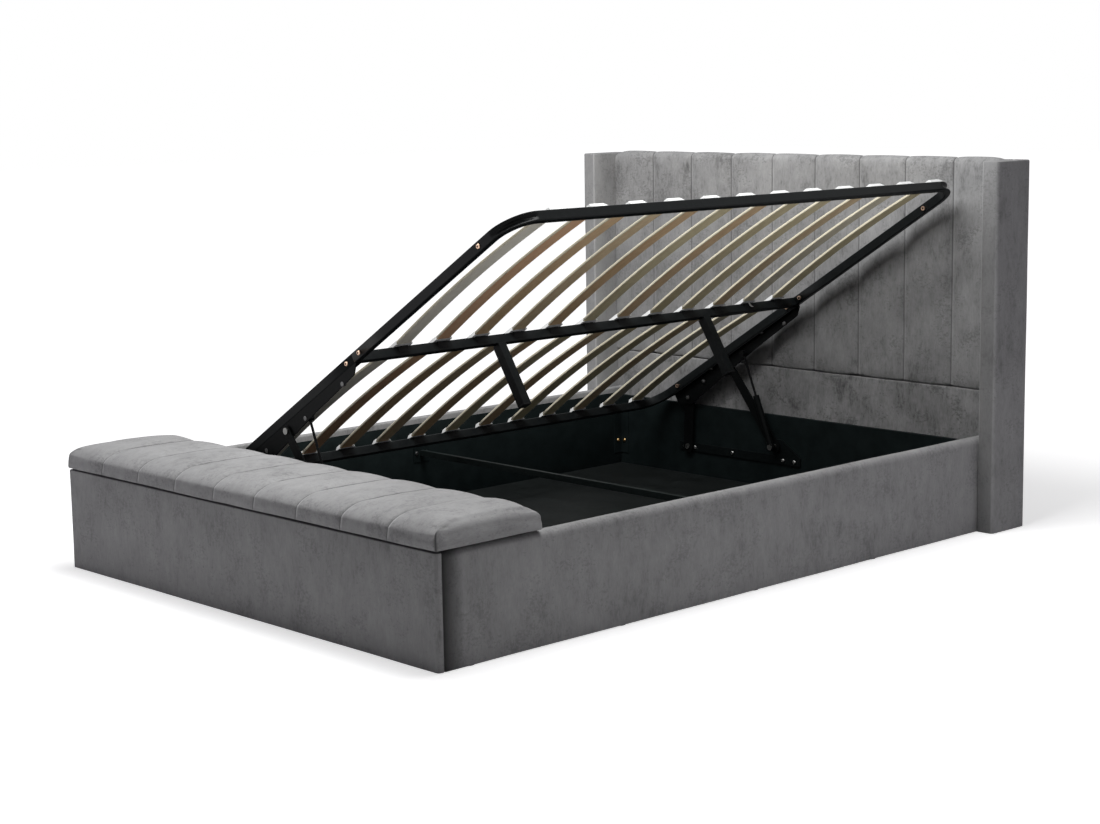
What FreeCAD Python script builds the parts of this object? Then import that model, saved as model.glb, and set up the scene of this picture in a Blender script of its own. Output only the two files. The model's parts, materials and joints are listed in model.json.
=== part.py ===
"""Storage bed: a padded foot bench, a winged headboard and a slatted frame that lifts from one long side.

Millimetres, +X to the side that opens, +Y to the head, +Z up. Everything is drawn from the foot face at
y = 0 and then moved, so that the origin is the centre of the footprint on the floor. The slatted frame is
drawn flat, with its tube tops at z = 0 and its centre at x = 0, and is then tilted into its raised place.
"""
import FreeCAD, Part
import math
import os

V = FreeCAD.Vector
X_AXIS = V(1, 0, 0)
Y_AXIS = V(0, 1, 0)
Z_AXIS = V(0, 0, 1)

# Box
box_width = 1720.0
box_height = 305.0
rail_thickness = 38.0
foot_panel_thickness = 22.0
upholstery_round = 12.0
rail_outer_round = 22.0
rail_inner_round = 8.0
glide_height = 5.0
glide_radius = 18.0
glide_end_inset = 90.0
rail_glide_count = 5
floor_board_thickness = 8.0
floor_board_joint = 2.0

# Bench box
bench_depth = 360.0
partition_thickness = 18.0
partition_set_back = 12.0
partition_drop = 50.0
cleat_depth = 20.0
cleat_height = 22.0

# Bed box
bay_length = 1979.0
head_wall_thickness = 16.0
head_wall_drop = 33.0
cross_bar_width = 15.0
cross_bar_height = 20.0
cross_bar_top = 190.0
cross_bar_wall = 1.5
bracket_thickness = 3.0
cross_bracket_width = 70.0
cross_bracket_height = 64.0
corner_bracket_leg = 40.0
corner_bracket_height = 190.0
corner_bracket_rise = 40.0
corner_bracket_bolt = 47.5

# Headboard
headboard_height = 1180.0
headboard_pad_rise = 10.0
pad_thickness = 45.0
pad_bottom = 440.0
pad_seam_depth = 9.0
pad_top_seam_dip = 5.0
pad_round = 20.0
core_thickness = 28.0
wing_depth = 180.0
wing_thickness = 60.0
wing_round = 16.0
channel_count = 9
soft_clearance = 0.3

# Bench lid
lid_gap = 5.0
lid_board_thickness = 18.0
lid_board_side_gap = 6.0
lid_board_front_gap = 4.0
lid_board_back_inset = 10.0
lid_pivot_inset = 18.0
lid_pivot_rise = 42.0
cushion_height = 76.0
cushion_side_height = 30.0
cushion_round_run = 60.0
cushion_seam_dip = 7.0
cushion_end_dip = 14.0
cushion_edge_tuck = 3.0
hinge_plate_width = 14.0
hinge_plate_drop = 100.0
hinge_foot_width = 60.0
hinge_foot_height = 36.0
hinge_pin_radius = 4.0
hinge_pin_length = 24.0
hinge_slot_margin = 1.5
hinge_slot_rise = 5.5
lid_rib_length = 50.0
lid_rib_rise = 8.0
lid_rib_width = 36.0

# Slatted frame, flat
frame_width = 1590.0
frame_wall_gap = 18.0
tube_width = 20.0
tube_height = 30.0
tube_wall = 1.5
bend_radius = 100.0
joiner_length = 160.0
joiner_clearance = 0.2
joiner_bolt_spacing = 68.0
corner_bolt_inset = 152.0
leg_width = 30.0
leg_length = 202.0
leg_cap_height = 6.0
leg_foot_inset = 550.0
leg_head_inset = 484.0

# Slats and their holders
slat_count = 12
slat_width = 53.0
slat_thickness = 8.0
slat_bow = 16.0
slat_first_inset = 182.0
slat_last_inset = 112.0
slat_seat = 2.0
holder_width = 66.0
holder_taper = 5.0
holder_height = 15.0
holder_pocket = 24.0
holder_back = 8.0
holder_clearance = 0.3
holder_pocket_height = 11.5
slat_end_gap = 1.0

# Raised pose of the frame: tilt, and the place of its centre above the floor
frame_tilt = 32.0
frame_centre_x = 46.6
frame_centre_z = 694.1

# Lift: pivots fixed to the wall, over the floor
rear_pivot_x = -463.4
rear_pivot_z = 118.2
front_pivot_x = -49.1
front_pivot_z = 163.3

# Lift: pivots on the frame, from its centre and its tube tops
rear_link_x = -634.2
rear_link_z = -69.6
front_link_x = -398.4
front_link_z = -51.5
strut_link_x = -300.7
strut_link_z = -58.0

# Lift: parts, with depths counted from the wall into the bed box
base_thickness = 5.0
base_bar_bottom = 100.0
base_bar_height = 30.0
base_left_margin = 52.0
base_right_margin = 108.0
base_upstand_width = 120.0
base_upstand_rise = 24.0
base_boss_radius = 14.0
arm_depth = 11.5
arm_thickness = 5.0
rear_arm_width = 44.0
front_arm_foot_width = 42.0
front_arm_tip_width = 30.0
angle_thickness = 4.0
angle_end_x = 4.0
angle_start_x = -690.0
angle_leg_end = 27.0
angle_leg_mid = 36.0
angle_leg_mid_x = -250.0
angle_leg_start = 66.0
angle_bolt_high_x = -85.0
angle_bolt_low_x = -531.0
angle_bolt_drop = 24.0
flange_bolt_high_x = -190.0
flange_bolt_low_x = -470.0
pivot_radius = 6.0
pivot_head_radius = 10.0
pivot_head_height = 4.0
pivot_clearance = 0.05
side_clearance = 0.5
strut_depth = 34.0
strut_radius = 11.0
strut_bore_clearance = 0.3
strut_cylinder_length = 190.0
strut_closed_end = 60.0
strut_rod_radius = 4.0
strut_rod_length = 165.0
strut_eye_radius = 10.0
strut_eye_thickness = 12.0
strut_neck_radius = 7.0

# Fasteners
bolt_radius = 4.0
bolt_head_radius = 7.0
bolt_head_height = 4.0
bolt_dome = 3.0
bolt_hole_clearance = 0.1
bolt_bite = 11.0
nut_radius = 7.0
nut_height = 6.0
rivet_height = 1.0
base_bolt_pair = 26.0
overrun = 2.0

# Places worked out from the sizes above
half_width = box_width / 2
rail_inner = half_width - rail_thickness
floor_top = glide_height + floor_board_thickness
y_bay = bench_depth + partition_set_back
y_partition = y_bay - partition_thickness
y_head_wall = y_bay + bay_length
y_pad = y_head_wall + head_wall_thickness
y_core = y_pad + pad_thickness
overall_length = y_core + core_thickness
y_wing = overall_length - wing_depth
mid_bay = y_bay + bay_length / 2
lid_bottom = box_height + lid_gap
lid_board_bottom = lid_bottom - lid_board_thickness
lid_pivot_y = bench_depth - lid_pivot_inset
lid_pivot_z = lid_bottom + lid_pivot_rise
y_frame_foot = y_bay + frame_wall_gap
y_frame_head = y_head_wall - frame_wall_gap
frame_length = y_frame_head - y_frame_foot
half_frame = frame_width / 2
slat_pitch = (frame_length - slat_first_inset - slat_last_inset) / (slat_count - 1)
joiner_bolt_z = -tube_height / 2
angle_face = frame_wall_gap + angle_thickness


def block(x0, x1, y0, y1, z0, z1):
    """A block between two corners."""
    return Part.makeBox(x1 - x0, y1 - y0, z1 - z0, V(x0, y0, z0))


def edges_in(shape, **planes):
    """The edges that lie in all the given planes, such as z=top, x=side."""
    found = []
    for edge in shape.Edges:
        box = edge.BoundBox
        low = {"x": box.XMin, "y": box.YMin, "z": box.ZMin}
        high = {"x": box.XMax, "y": box.YMax, "z": box.ZMax}
        if all(math.isclose(low[a], v, abs_tol=1e-4) and math.isclose(high[a], v, abs_tol=1e-4)
               for a, v in planes.items()):
            found.append(edge)
    return found


def prism(points, direction):
    """A flat outline of straight runs, pushed along a direction."""
    return Part.Face(Part.makePolygon(points + points[:1])).extrude(direction)


def side_plate(outline, depth, thickness):
    """A plate parallel to the head wall, its (x, z) outline starting at a depth from the wall."""
    y = y_head_wall - depth
    return prism([V(x, y, z) for x, z in outline], V(0, -thickness, 0))


def pin(x, z, depth, length, radius):
    """A round pin square to the head wall, starting at a depth from it."""
    return Part.makeCylinder(radius, length, V(x, y_head_wall - depth, z), -Y_AXIS)


def mirrored(shape):
    """The same shape at the foot end of the bed box."""
    return shape.mirror(V(0, mid_bay, 0), Y_AXIS)


def both_ends(shape):
    """A shape and its mirror image, as one group."""
    return [shape, mirrored(shape)]


def lifted(shape):
    """A shape of the flat frame, tilted and raised into place."""
    moved = shape.copy()
    moved.rotate(V(0, 0, 0), -Y_AXIS, frame_tilt)
    moved.translate(V(frame_centre_x, 0, frame_centre_z))
    return moved


def lifted_point(x, z):
    """The raised place of a point of the flat frame, as (x, z)."""
    turn = math.radians(frame_tilt)
    return (frame_centre_x + x * math.cos(turn) - z * math.sin(turn),
            frame_centre_z + x * math.sin(turn) + z * math.cos(turn))


def domed_bolt(seat, direction, shank):
    """A bolt with a domed head: the head stands on the seat point, the shank goes the other way."""
    head = Part.makeCylinder(bolt_head_radius, bolt_head_height)
    head = head.makeFillet(bolt_dome, edges_in(head, z=bolt_head_height))
    bolt = head.fuse(Part.makeCylinder(bolt_radius, shank, V(0, 0, -shank)))
    bolt.Placement = FreeCAD.Placement(seat, FreeCAD.Rotation(Z_AXIS, direction))
    return bolt


def bolt_hole(seat, direction, depth):
    """The clearance hole for a bolt's shank."""
    return Part.makeCylinder(bolt_radius + bolt_hole_clearance, depth, seat, -direction)


def link(start, end, start_radius, end_radius, depth, thickness):
    """A flat arm with round ends of two sizes, between two (x, z) points."""
    dx, dz = end[0] - start[0], end[1] - start[1]
    span = math.hypot(dx, dz)
    heading = math.atan2(dz, dx)
    lean = math.acos((start_radius - end_radius) / span)
    corners = []
    for centre, radius, side in ((start, start_radius, 1), (end, end_radius, 1),
                                 (end, end_radius, -1), (start, start_radius, -1)):
        angle = heading + side * lean
        corners.append((centre[0] + radius * math.cos(angle), centre[1] + radius * math.sin(angle)))
    arm = side_plate(corners, depth, thickness)
    for centre, radius in ((start, start_radius), (end, end_radius)):
        arm = arm.fuse(pin(centre[0], centre[1], depth, thickness, radius))
    return arm.removeSplitter()


def scalloped(start, end, count, dip, across):
    """Arcs from start to end, one for each sewn channel, each rising from its seams by the dip."""
    step = (end - start) / count
    edges = []
    for i in range(count):
        a, b = start + step * i, start + step * (i + 1)
        edges.append(Part.Arc(a, (a + b) / 2 + across * dip, b).toShape())
    return edges


def closed_prism(edges, direction):
    """A solid from a loop of edges, pushed along a direction."""
    return Part.Face(Part.Wire(Part.sortEdges(edges)[0])).extrude(direction)


def loop(edges, corners):
    """Closes a run of edges with straight lines through the given corners."""
    return edges + [Part.makeLine(a, b) for a, b in zip(corners, corners[1:])]


def rounded_loop(inset, z):
    """The frame's outline, drawn in by an inset, with its four bends."""
    x, y0, y1 = half_frame - inset, y_frame_foot + inset, y_frame_head - inset
    r = bend_radius - inset
    d = r * (1 - math.sqrt(0.5))
    edges = []
    for sx, sy, start in ((1, -1, 0), (1, 1, 1), (-1, 1, 2), (-1, -1, 3)):
        yc = y1 if sy > 0 else y0
        along_x, along_y = V(sx * (x - r), yc, z), V(sx * x, yc - sy * r, z)
        middle = V(sx * (x - d), yc - sy * d, z)
        edges.append(Part.Arc(along_x, middle, along_y).toShape())
    edges.append(Part.makeLine(V(r - x, y0, z), V(x - r, y0, z)))
    edges.append(Part.makeLine(V(r - x, y1, z), V(x - r, y1, z)))
    edges.append(Part.makeLine(V(x, y0 + r, z), V(x, y1 - r, z)))
    edges.append(Part.makeLine(V(-x, y0 + r, z), V(-x, y1 - r, z)))
    return edges


def frame_band(outer, inner, z0, z1):
    """The space between two insets of the frame's outline."""
    up = V(0, 0, z1 - z0)
    return closed_prism(rounded_loop(outer, z0), up).cut(closed_prism(rounded_loop(inner, z0), up))


def square_tube(x0, x1, y0, y1, z0, z1, wall, axis):
    """A hollow square tube, open at both ends along its axis."""
    margins = {"x": (0, wall, wall), "y": (wall, 0, wall), "z": (wall, wall, 0)}[axis]
    mx, my, mz = margins
    return block(x0, x1, y0, y1, z0, z1).cut(block(x0 + mx, x1 - mx, y0 + my, y1 - my, z0 + mz, z1 - mz))


parts = {}

# Foot panel and side rails, with the softened edges of upholstered boards
foot_panel = block(-half_width, half_width, 0, foot_panel_thickness, glide_height, box_height)
foot_round = min(upholstery_round, foot_panel_thickness / 2 - overrun)
foot_panel = foot_panel.makeFillet(foot_round, edges_in(foot_panel, y=0, z=box_height)
                                   + edges_in(foot_panel, y=0, x=half_width)
                                   + edges_in(foot_panel, y=0, x=-half_width))
parts["foot_panel"] = foot_panel

side_rail_near = block(rail_inner, half_width, foot_panel_thickness, y_pad, glide_height, box_height)
side_rail_near = side_rail_near.makeFillet(rail_outer_round,
                                           edges_in(side_rail_near, x=half_width, z=box_height))
side_rail_near = side_rail_near.makeFillet(rail_inner_round,
                                           edges_in(side_rail_near, x=rail_inner, z=box_height))
parts["side_rail_near"] = side_rail_near
parts["side_rail_far"] = side_rail_near.mirror(V(0, 0, 0), X_AXIS)

# Dark boards inside the box
bench_partition = block(-rail_inner, rail_inner, y_partition, y_bay,
                        glide_height, box_height - partition_drop)
head_wall = block(-rail_inner, rail_inner, y_head_wall, y_pad, glide_height, box_height - head_wall_drop)
parts["bench_floor"] = block(-rail_inner, rail_inner, foot_panel_thickness, y_partition,
                             glide_height, floor_top)
parts["floor_board_foot"] = block(-rail_inner, rail_inner, y_bay, mid_bay - floor_board_joint / 2,
                                  glide_height, floor_top)
parts["floor_board_head"] = block(-rail_inner, rail_inner, mid_bay + floor_board_joint / 2, y_head_wall,
                                  glide_height, floor_top)
parts["lid_cleat"] = block(-rail_inner, rail_inner,
                           foot_panel_thickness, foot_panel_thickness + cleat_depth,
                           lid_board_bottom - cleat_height, lid_board_bottom)

# Cross bar and its end brackets
bar_end = rail_inner - bracket_thickness
bar_half = cross_bar_width / 2
parts["cross_bar"] = square_tube(-bar_end, bar_end, mid_bay - bar_half, mid_bay + bar_half,
                                 cross_bar_top - cross_bar_height, cross_bar_top, cross_bar_wall, "x")
bracket_middle = cross_bar_top - cross_bar_height / 2
bracket_half = cross_bracket_width / 2
cross_bracket = block(bar_end, rail_inner, mid_bay - bracket_half, mid_bay + bracket_half,
                      bracket_middle - cross_bracket_height / 2, bracket_middle + cross_bracket_height / 2)

# Corner brackets of the bed box, with one bolt in each leg
bracket_bottom = floor_top + corner_bracket_rise
bracket_top = bracket_bottom + corner_bracket_height
corner_bracket = block(rail_inner - corner_bracket_leg, rail_inner, y_head_wall - corner_bracket_leg,
                       y_head_wall, bracket_bottom, bracket_top)
corner_bracket = corner_bracket.cut(block(rail_inner - corner_bracket_leg - overrun, bar_end,
                                          y_head_wall - corner_bracket_leg - overrun,
                                          y_head_wall - bracket_thickness,
                                          bracket_bottom - overrun, bracket_top + overrun))
carcass_seats = []
seat_z = bracket_bottom + corner_bracket_bolt
leg_middle = corner_bracket_leg / 2
carcass_seats.append((V(rail_inner - leg_middle, y_head_wall - bracket_thickness, seat_z), -Y_AXIS))
carcass_seats.append((V(bar_end, y_head_wall - leg_middle, seat_z), -X_AXIS))
bar_seats = []
for side in (-1, 1):
    offset = (cross_bracket_width + cross_bar_width) / 4
    bar_seats.append((V(bar_end, mid_bay + side * offset, bracket_middle), -X_AXIS))


def four_corners(shape):
    """A shape and its mirror images at the other three corners of the bed box."""
    across = shape.mirror(V(0, 0, 0), X_AXIS)
    return both_ends(shape) + both_ends(across)


def two_sides(shape):
    """A shape and its mirror image on the other side rail."""
    return [shape, shape.mirror(V(0, 0, 0), X_AXIS)]


carcass_bolts = []
carcass_holes = []
for seat, direction in carcass_seats:
    carcass_bolts += four_corners(domed_bolt(seat, direction, bolt_bite))
    carcass_holes += four_corners(bolt_hole(seat, direction, bolt_bite + bolt_hole_clearance))
for seat, direction in bar_seats:
    carcass_bolts += two_sides(domed_bolt(seat, direction, bolt_bite))
    carcass_holes += two_sides(bolt_hole(seat, direction, bolt_bite + bolt_hole_clearance))
carcass_hole_tool = Part.makeCompound(carcass_holes)
parts["cross_bar_brackets"] = Part.makeCompound(
    [plate.cut(carcass_hole_tool) for plate in two_sides(cross_bracket)])
parts["corner_brackets"] = Part.makeCompound(
    [plate.cut(carcass_hole_tool) for plate in four_corners(corner_bracket)])
parts["carcass_bolts"] = Part.makeCompound(carcass_bolts)
for name in ("side_rail_near", "side_rail_far"):
    parts[name] = parts[name].cut(carcass_hole_tool)

# Headboard: core board, channelled pad, plain lower panel and two wings
headboard_top = headboard_height + headboard_pad_rise
parts["headboard_core"] = block(-half_width, half_width, y_core, overall_length,
                                glide_height, headboard_height)
parts["headboard_lower_panel"] = block(-half_width, half_width, y_pad, y_core, glide_height,
                                       pad_bottom - soft_clearance)
pad_side = half_width - soft_clearance
pad_seam_y = y_pad + pad_seam_depth
pad_seam_top = headboard_top - pad_top_seam_dip
pad_low, pad_high = pad_bottom - overrun, headboard_top + overrun
pad_past = pad_side + overrun
pad_front = scalloped(V(-pad_side, pad_seam_y, pad_low), V(pad_side, pad_seam_y, pad_low),
                      channel_count, pad_seam_depth, -Y_AXIS)
pad_plan_corners = [V(pad_side, pad_seam_y, pad_low), V(pad_side, overall_length, pad_low),
                    V(-pad_side, overall_length, pad_low), V(-pad_side, pad_seam_y, pad_low)]
pad_plan = closed_prism(loop(pad_front, pad_plan_corners), V(0, 0, pad_high - pad_low))
pad_before = y_pad - overrun
pad_crest = scalloped(V(-pad_side, pad_before, pad_seam_top), V(pad_side, pad_before, pad_seam_top),
                      channel_count, pad_top_seam_dip, Z_AXIS)
pad_face_corners = [V(pad_side, pad_before, pad_seam_top), V(pad_past, pad_before, pad_seam_top),
                    V(pad_past, pad_before, pad_low), V(-pad_past, pad_before, pad_low),
                    V(-pad_past, pad_before, pad_seam_top), V(-pad_side, pad_before, pad_seam_top)]
pad_face = closed_prism(loop(pad_crest, pad_face_corners), V(0, overall_length - pad_before, 0))
pad_wide = pad_past + overrun
pad_side_view = block(-pad_wide, pad_wide, pad_before, y_core, pad_bottom, pad_high)
pad_side_view = pad_side_view.makeFillet(pad_round, edges_in(pad_side_view, y=pad_before, z=pad_high)
                                         + edges_in(pad_side_view, y=y_core, z=pad_high))
parts["headboard_pad"] = pad_plan.common(pad_face).common(pad_side_view)

wing_outer = half_width + wing_thickness
wing = block(half_width, wing_outer, y_wing, overall_length, glide_height, headboard_height)
wing = wing.makeFillet(wing_round, edges_in(wing, x=wing_outer, y=y_wing)
                       + edges_in(wing, x=half_width, y=y_wing)
                       + edges_in(wing, y=y_wing, z=headboard_height)
                       + edges_in(wing, x=wing_outer, z=headboard_height)
                       + edges_in(wing, x=wing_outer, y=overall_length))
parts["wing_near"] = wing
parts["wing_far"] = wing.mirror(V(0, 0, 0), X_AXIS)

# Glides under the rails, the foot panel and the headboard
glides = []
rail_middle = half_width - rail_thickness / 2
glide_first = foot_panel_thickness + glide_end_inset
glide_step = (y_pad - glide_end_inset - glide_first) / (rail_glide_count - 1)
for i in range(rail_glide_count):
    glide_centre = V(rail_middle, glide_first + i * glide_step, 0)
    glides += two_sides(Part.makeCylinder(glide_radius, glide_height, glide_centre))
wing_middle = half_width + wing_thickness / 2
for y in (y_wing + glide_end_inset / 2, overall_length - glide_end_inset / 2):
    glides += two_sides(Part.makeCylinder(glide_radius, glide_height, V(wing_middle, y, 0)))
parts["floor_glides"] = Part.makeCompound(glides)

# Bench lid: board, two ribs that turn on the pins of the hinge plates, and the channelled cushion
lid_board_side = rail_inner - lid_board_side_gap
parts["lid_board"] = block(-lid_board_side, lid_board_side, foot_panel_thickness + lid_board_front_gap,
                           bench_depth - lid_board_back_inset, lid_board_bottom, lid_bottom)
plate_inner = rail_inner - bracket_thickness
pin_tip = plate_inner - hinge_pin_length
plate_half = hinge_plate_width / 2
plate_bottom = lid_pivot_z - hinge_plate_drop
hinge_plate = block(plate_inner, rail_inner, lid_pivot_y - plate_half, lid_pivot_y + plate_half,
                    plate_bottom, lid_pivot_z)
plate_back = lid_pivot_y + plate_half
hinge_plate = hinge_plate.fuse(block(plate_inner, rail_inner, plate_back - hinge_foot_width, plate_back,
                                     plate_bottom, plate_bottom + hinge_foot_height))
plate_eye = Part.makeCylinder(plate_half, bracket_thickness,
                              V(plate_inner, lid_pivot_y, lid_pivot_z), X_AXIS)
hinge_pin = Part.makeCylinder(hinge_pin_radius, hinge_pin_length,
                              V(pin_tip, lid_pivot_y, lid_pivot_z), X_AXIS)
parts["lid_hinge_plates"] = Part.makeCompound(two_sides(hinge_plate.fuse(plate_eye).fuse(hinge_pin)))
rib_back = bench_depth - lid_board_back_inset
rib_top = lid_pivot_z + lid_rib_rise
lid_rib = block(lid_board_side - lid_rib_width, lid_board_side, rib_back - lid_rib_length, rib_back,
                lid_bottom, rib_top)
lid_rib = lid_rib.cut(Part.makeCylinder(hinge_pin_radius + pivot_clearance, hinge_pin_length + overrun * 2,
                                        V(pin_tip - overrun, lid_pivot_y, lid_pivot_z), X_AXIS))
parts["lid_ribs"] = Part.makeCompound(two_sides(lid_rib))
rib_pocket = block(lid_board_side - lid_rib_width - soft_clearance, plate_inner,
                   rib_back - lid_rib_length - soft_clearance, rib_back + soft_clearance,
                   lid_bottom - overrun, rib_top + soft_clearance)
slot_half = plate_half + hinge_slot_margin
slot_side = plate_inner - hinge_slot_margin
slot_width = bracket_thickness + hinge_slot_margin * 2
plate_slot = block(slot_side, slot_side + slot_width, lid_pivot_y - slot_half, bench_depth + slot_half,
                   lid_bottom - overrun, lid_pivot_z + hinge_slot_rise)
plate_slot = plate_slot.fuse(Part.makeCylinder(slot_half, slot_width,
                                               V(slot_side, lid_pivot_y, lid_pivot_z), X_AXIS))
lid_hollows = Part.makeCompound(two_sides(rib_pocket.fuse(plate_slot)))

cushion_top = lid_bottom + cushion_height
cushion_past = half_width + overrun
crown_z = cushion_top + overrun
shoulder_z = lid_bottom + cushion_side_height
quarter_turn = math.sqrt(0.5)


def shoulder(edge_y, toward):
    """The big round from a long side of the cushion to its crown, as one arc."""
    run, rise = cushion_round_run, crown_z - shoulder_z
    middle = V(-cushion_past, edge_y + toward * run * (1 - quarter_turn), shoulder_z + rise * quarter_turn)
    return Part.Arc(V(-cushion_past, edge_y, shoulder_z), middle,
                    V(-cushion_past, edge_y + toward * run, crown_z)).toShape()


y_before, y_after = -overrun, bench_depth + overrun
side_corners = [V(-cushion_past, y_before, shoulder_z), V(-cushion_past, y_before, lid_bottom),
                V(-cushion_past, y_after, lid_bottom), V(-cushion_past, y_after, shoulder_z)]
crown_line = Part.makeLine(V(-cushion_past, y_before + cushion_round_run, crown_z),
                           V(-cushion_past, y_after - cushion_round_run, crown_z))
side_curves = [shoulder(y_before, 1), shoulder(y_after, -1), crown_line]
cushion_side_view = closed_prism(loop(side_curves, side_corners), V(cushion_past * 2, 0, 0))
seam_z = cushion_top - cushion_seam_dip
low_z = lid_bottom - overrun
cushion_crest = scalloped(V(-half_width, y_before, seam_z), V(half_width, y_before, seam_z),
                          channel_count, cushion_seam_dip, Z_AXIS)
crest_corners = [V(half_width, y_before, seam_z), V(cushion_past, y_before, seam_z),
                 V(cushion_past, y_before, low_z), V(-cushion_past, y_before, low_z),
                 V(-cushion_past, y_before, seam_z), V(-half_width, y_before, seam_z)]
cushion_front_view = closed_prism(loop(cushion_crest, crest_corners), V(0, y_after - y_before, 0))
tuck_y = bench_depth - cushion_edge_tuck
front_run = scalloped(V(-half_width, cushion_edge_tuck, low_z), V(half_width, cushion_edge_tuck, low_z),
                      channel_count, cushion_edge_tuck, -Y_AXIS)
back_run = scalloped(V(-half_width, tuck_y, low_z), V(half_width, tuck_y, low_z),
                     channel_count, cushion_edge_tuck, Y_AXIS)
plan_edges = front_run + back_run
for side, past_side in ((half_width, cushion_past), (-half_width, -cushion_past)):
    end_corners = [V(side, cushion_edge_tuck, low_z), V(past_side, cushion_edge_tuck, low_z),
                   V(past_side, tuck_y, low_z), V(side, tuck_y, low_z)]
    plan_edges = loop(plan_edges, end_corners)
cushion_plan = closed_prism(plan_edges, V(0, 0, crown_z - low_z))
end_wide = overrun + crown_z
cushion_end = block(-half_width, half_width, y_before - overrun, y_after + overrun,
                    low_z - overrun, end_wide)
cushion_end = cushion_end.makeFillet(cushion_end_dip, edges_in(cushion_end, x=half_width, z=end_wide)
                                     + edges_in(cushion_end, x=-half_width, z=end_wide))
lid_cushion = cushion_side_view.common(cushion_front_view).common(cushion_plan).common(cushion_end)
parts["lid_cushion"] = lid_cushion.cut(lid_hollows)

# Lift base bars: a bar with an upstand for the front pivot, bosses, wall bolts and pivot studs
bar_top = base_bar_bottom + base_bar_height
base_left = rear_pivot_x - base_left_margin
base_right = front_pivot_x + base_right_margin
upstand_left = base_right - base_upstand_width
base_outline = [(base_left, base_bar_bottom), (base_right, base_bar_bottom), (base_right, bar_top),
                (front_pivot_x + base_upstand_rise, front_pivot_z + base_upstand_rise),
                (front_pivot_x - base_upstand_rise, front_pivot_z + base_upstand_rise),
                (upstand_left, bar_top), (base_left, bar_top)]
lift_base = side_plate(base_outline, 0, base_thickness)
base_pivots = ((rear_pivot_x, rear_pivot_z), (front_pivot_x, front_pivot_z))
for x, z in base_pivots:
    lift_base = lift_base.fuse(pin(x, z, 0, arm_depth - side_clearance, base_boss_radius))
stud_hole_radius = pivot_radius + pivot_clearance
for x, z in base_pivots:
    lift_base = lift_base.cut(pin(x, z, 0, arm_depth, stud_hole_radius))
base_bolt_z = base_bar_bottom + base_bar_height / 2
base_middle = (rear_pivot_x + front_pivot_x) / 2
base_bolt_places = (rear_pivot_x - base_bolt_pair, rear_pivot_x + base_bolt_pair, base_middle,
                    base_right - base_bolt_pair * 3, base_right - base_bolt_pair)
lift_base_bolts = []
wall_holes = []
for x in base_bolt_places:
    seat = V(x, y_head_wall - base_thickness, base_bolt_z)
    lift_base_bolts += both_ends(domed_bolt(seat, -Y_AXIS, bolt_bite))
    wall_holes += both_ends(bolt_hole(seat, -Y_AXIS, bolt_bite + bolt_hole_clearance))
wall_hole_tool = Part.makeCompound(wall_holes)
parts["lift_base_head"] = lift_base.cut(wall_hole_tool)
parts["lift_base_foot"] = mirrored(lift_base).cut(wall_hole_tool)
parts["lift_base_bolts"] = Part.makeCompound(lift_base_bolts)
parts["head_wall"] = head_wall.cut(wall_hole_tool).cut(carcass_hole_tool)
parts["bench_partition"] = bench_partition.cut(wall_hole_tool).cut(carcass_hole_tool)

arm_face = arm_depth + arm_thickness
strut_near_face = strut_depth - strut_eye_thickness / 2
strut_far_face = strut_depth + strut_eye_thickness / 2
rear_stud = pin(rear_pivot_x, rear_pivot_z, 0, arm_face + side_clearance + pivot_head_height, pivot_radius)
rear_stud = rear_stud.fuse(pin(rear_pivot_x, rear_pivot_z, arm_face + side_clearance, pivot_head_height,
                               pivot_head_radius))
front_stud_length = strut_far_face + side_clearance + pivot_head_height
front_stud = pin(front_pivot_x, front_pivot_z, 0, front_stud_length, pivot_radius)
for start, length in ((arm_face + side_clearance, strut_near_face - arm_face - side_clearance * 2),
                      (strut_far_face + side_clearance, pivot_head_height)):
    front_stud = front_stud.fuse(pin(front_pivot_x, front_pivot_z, start, length, pivot_head_radius))
parts["base_pivot_studs"] = Part.makeCompound(both_ends(rear_stud) + both_ends(front_stud))

# Arms: the front one is hinged to the frame by a bolt, the rear one carries its own stud
rear_tip = lifted_point(rear_link_x, rear_link_z)
front_tip = lifted_point(front_link_x, front_link_z)
strut_tip = lifted_point(strut_link_x, strut_link_z)
rear_base, front_base = base_pivots
front_arm = link(front_base, front_tip, front_arm_foot_width / 2, front_arm_tip_width / 2,
                 arm_depth, arm_thickness)
for x, z in (front_base, front_tip):
    front_arm = front_arm.cut(pin(x, z, 0, angle_face, stud_hole_radius))
parts["front_arm_head"] = front_arm
parts["front_arm_foot"] = mirrored(front_arm)
rear_arm = link(rear_base, rear_tip, rear_arm_width / 2, rear_arm_width / 2,
                arm_depth, arm_thickness)
rear_arm = rear_arm.cut(pin(rear_base[0], rear_base[1], 0, angle_face, stud_hole_radius))
rear_arm = rear_arm.fuse(pin(rear_tip[0], rear_tip[1], arm_depth - pivot_head_height, pivot_head_height,
                             pivot_head_radius))
rear_arm = rear_arm.fuse(pin(rear_tip[0], rear_tip[1], arm_face, frame_wall_gap - arm_face - side_clearance,
                             pivot_radius))
parts["rear_arm_head"] = rear_arm
parts["rear_arm_foot"] = mirrored(rear_arm)

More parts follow.
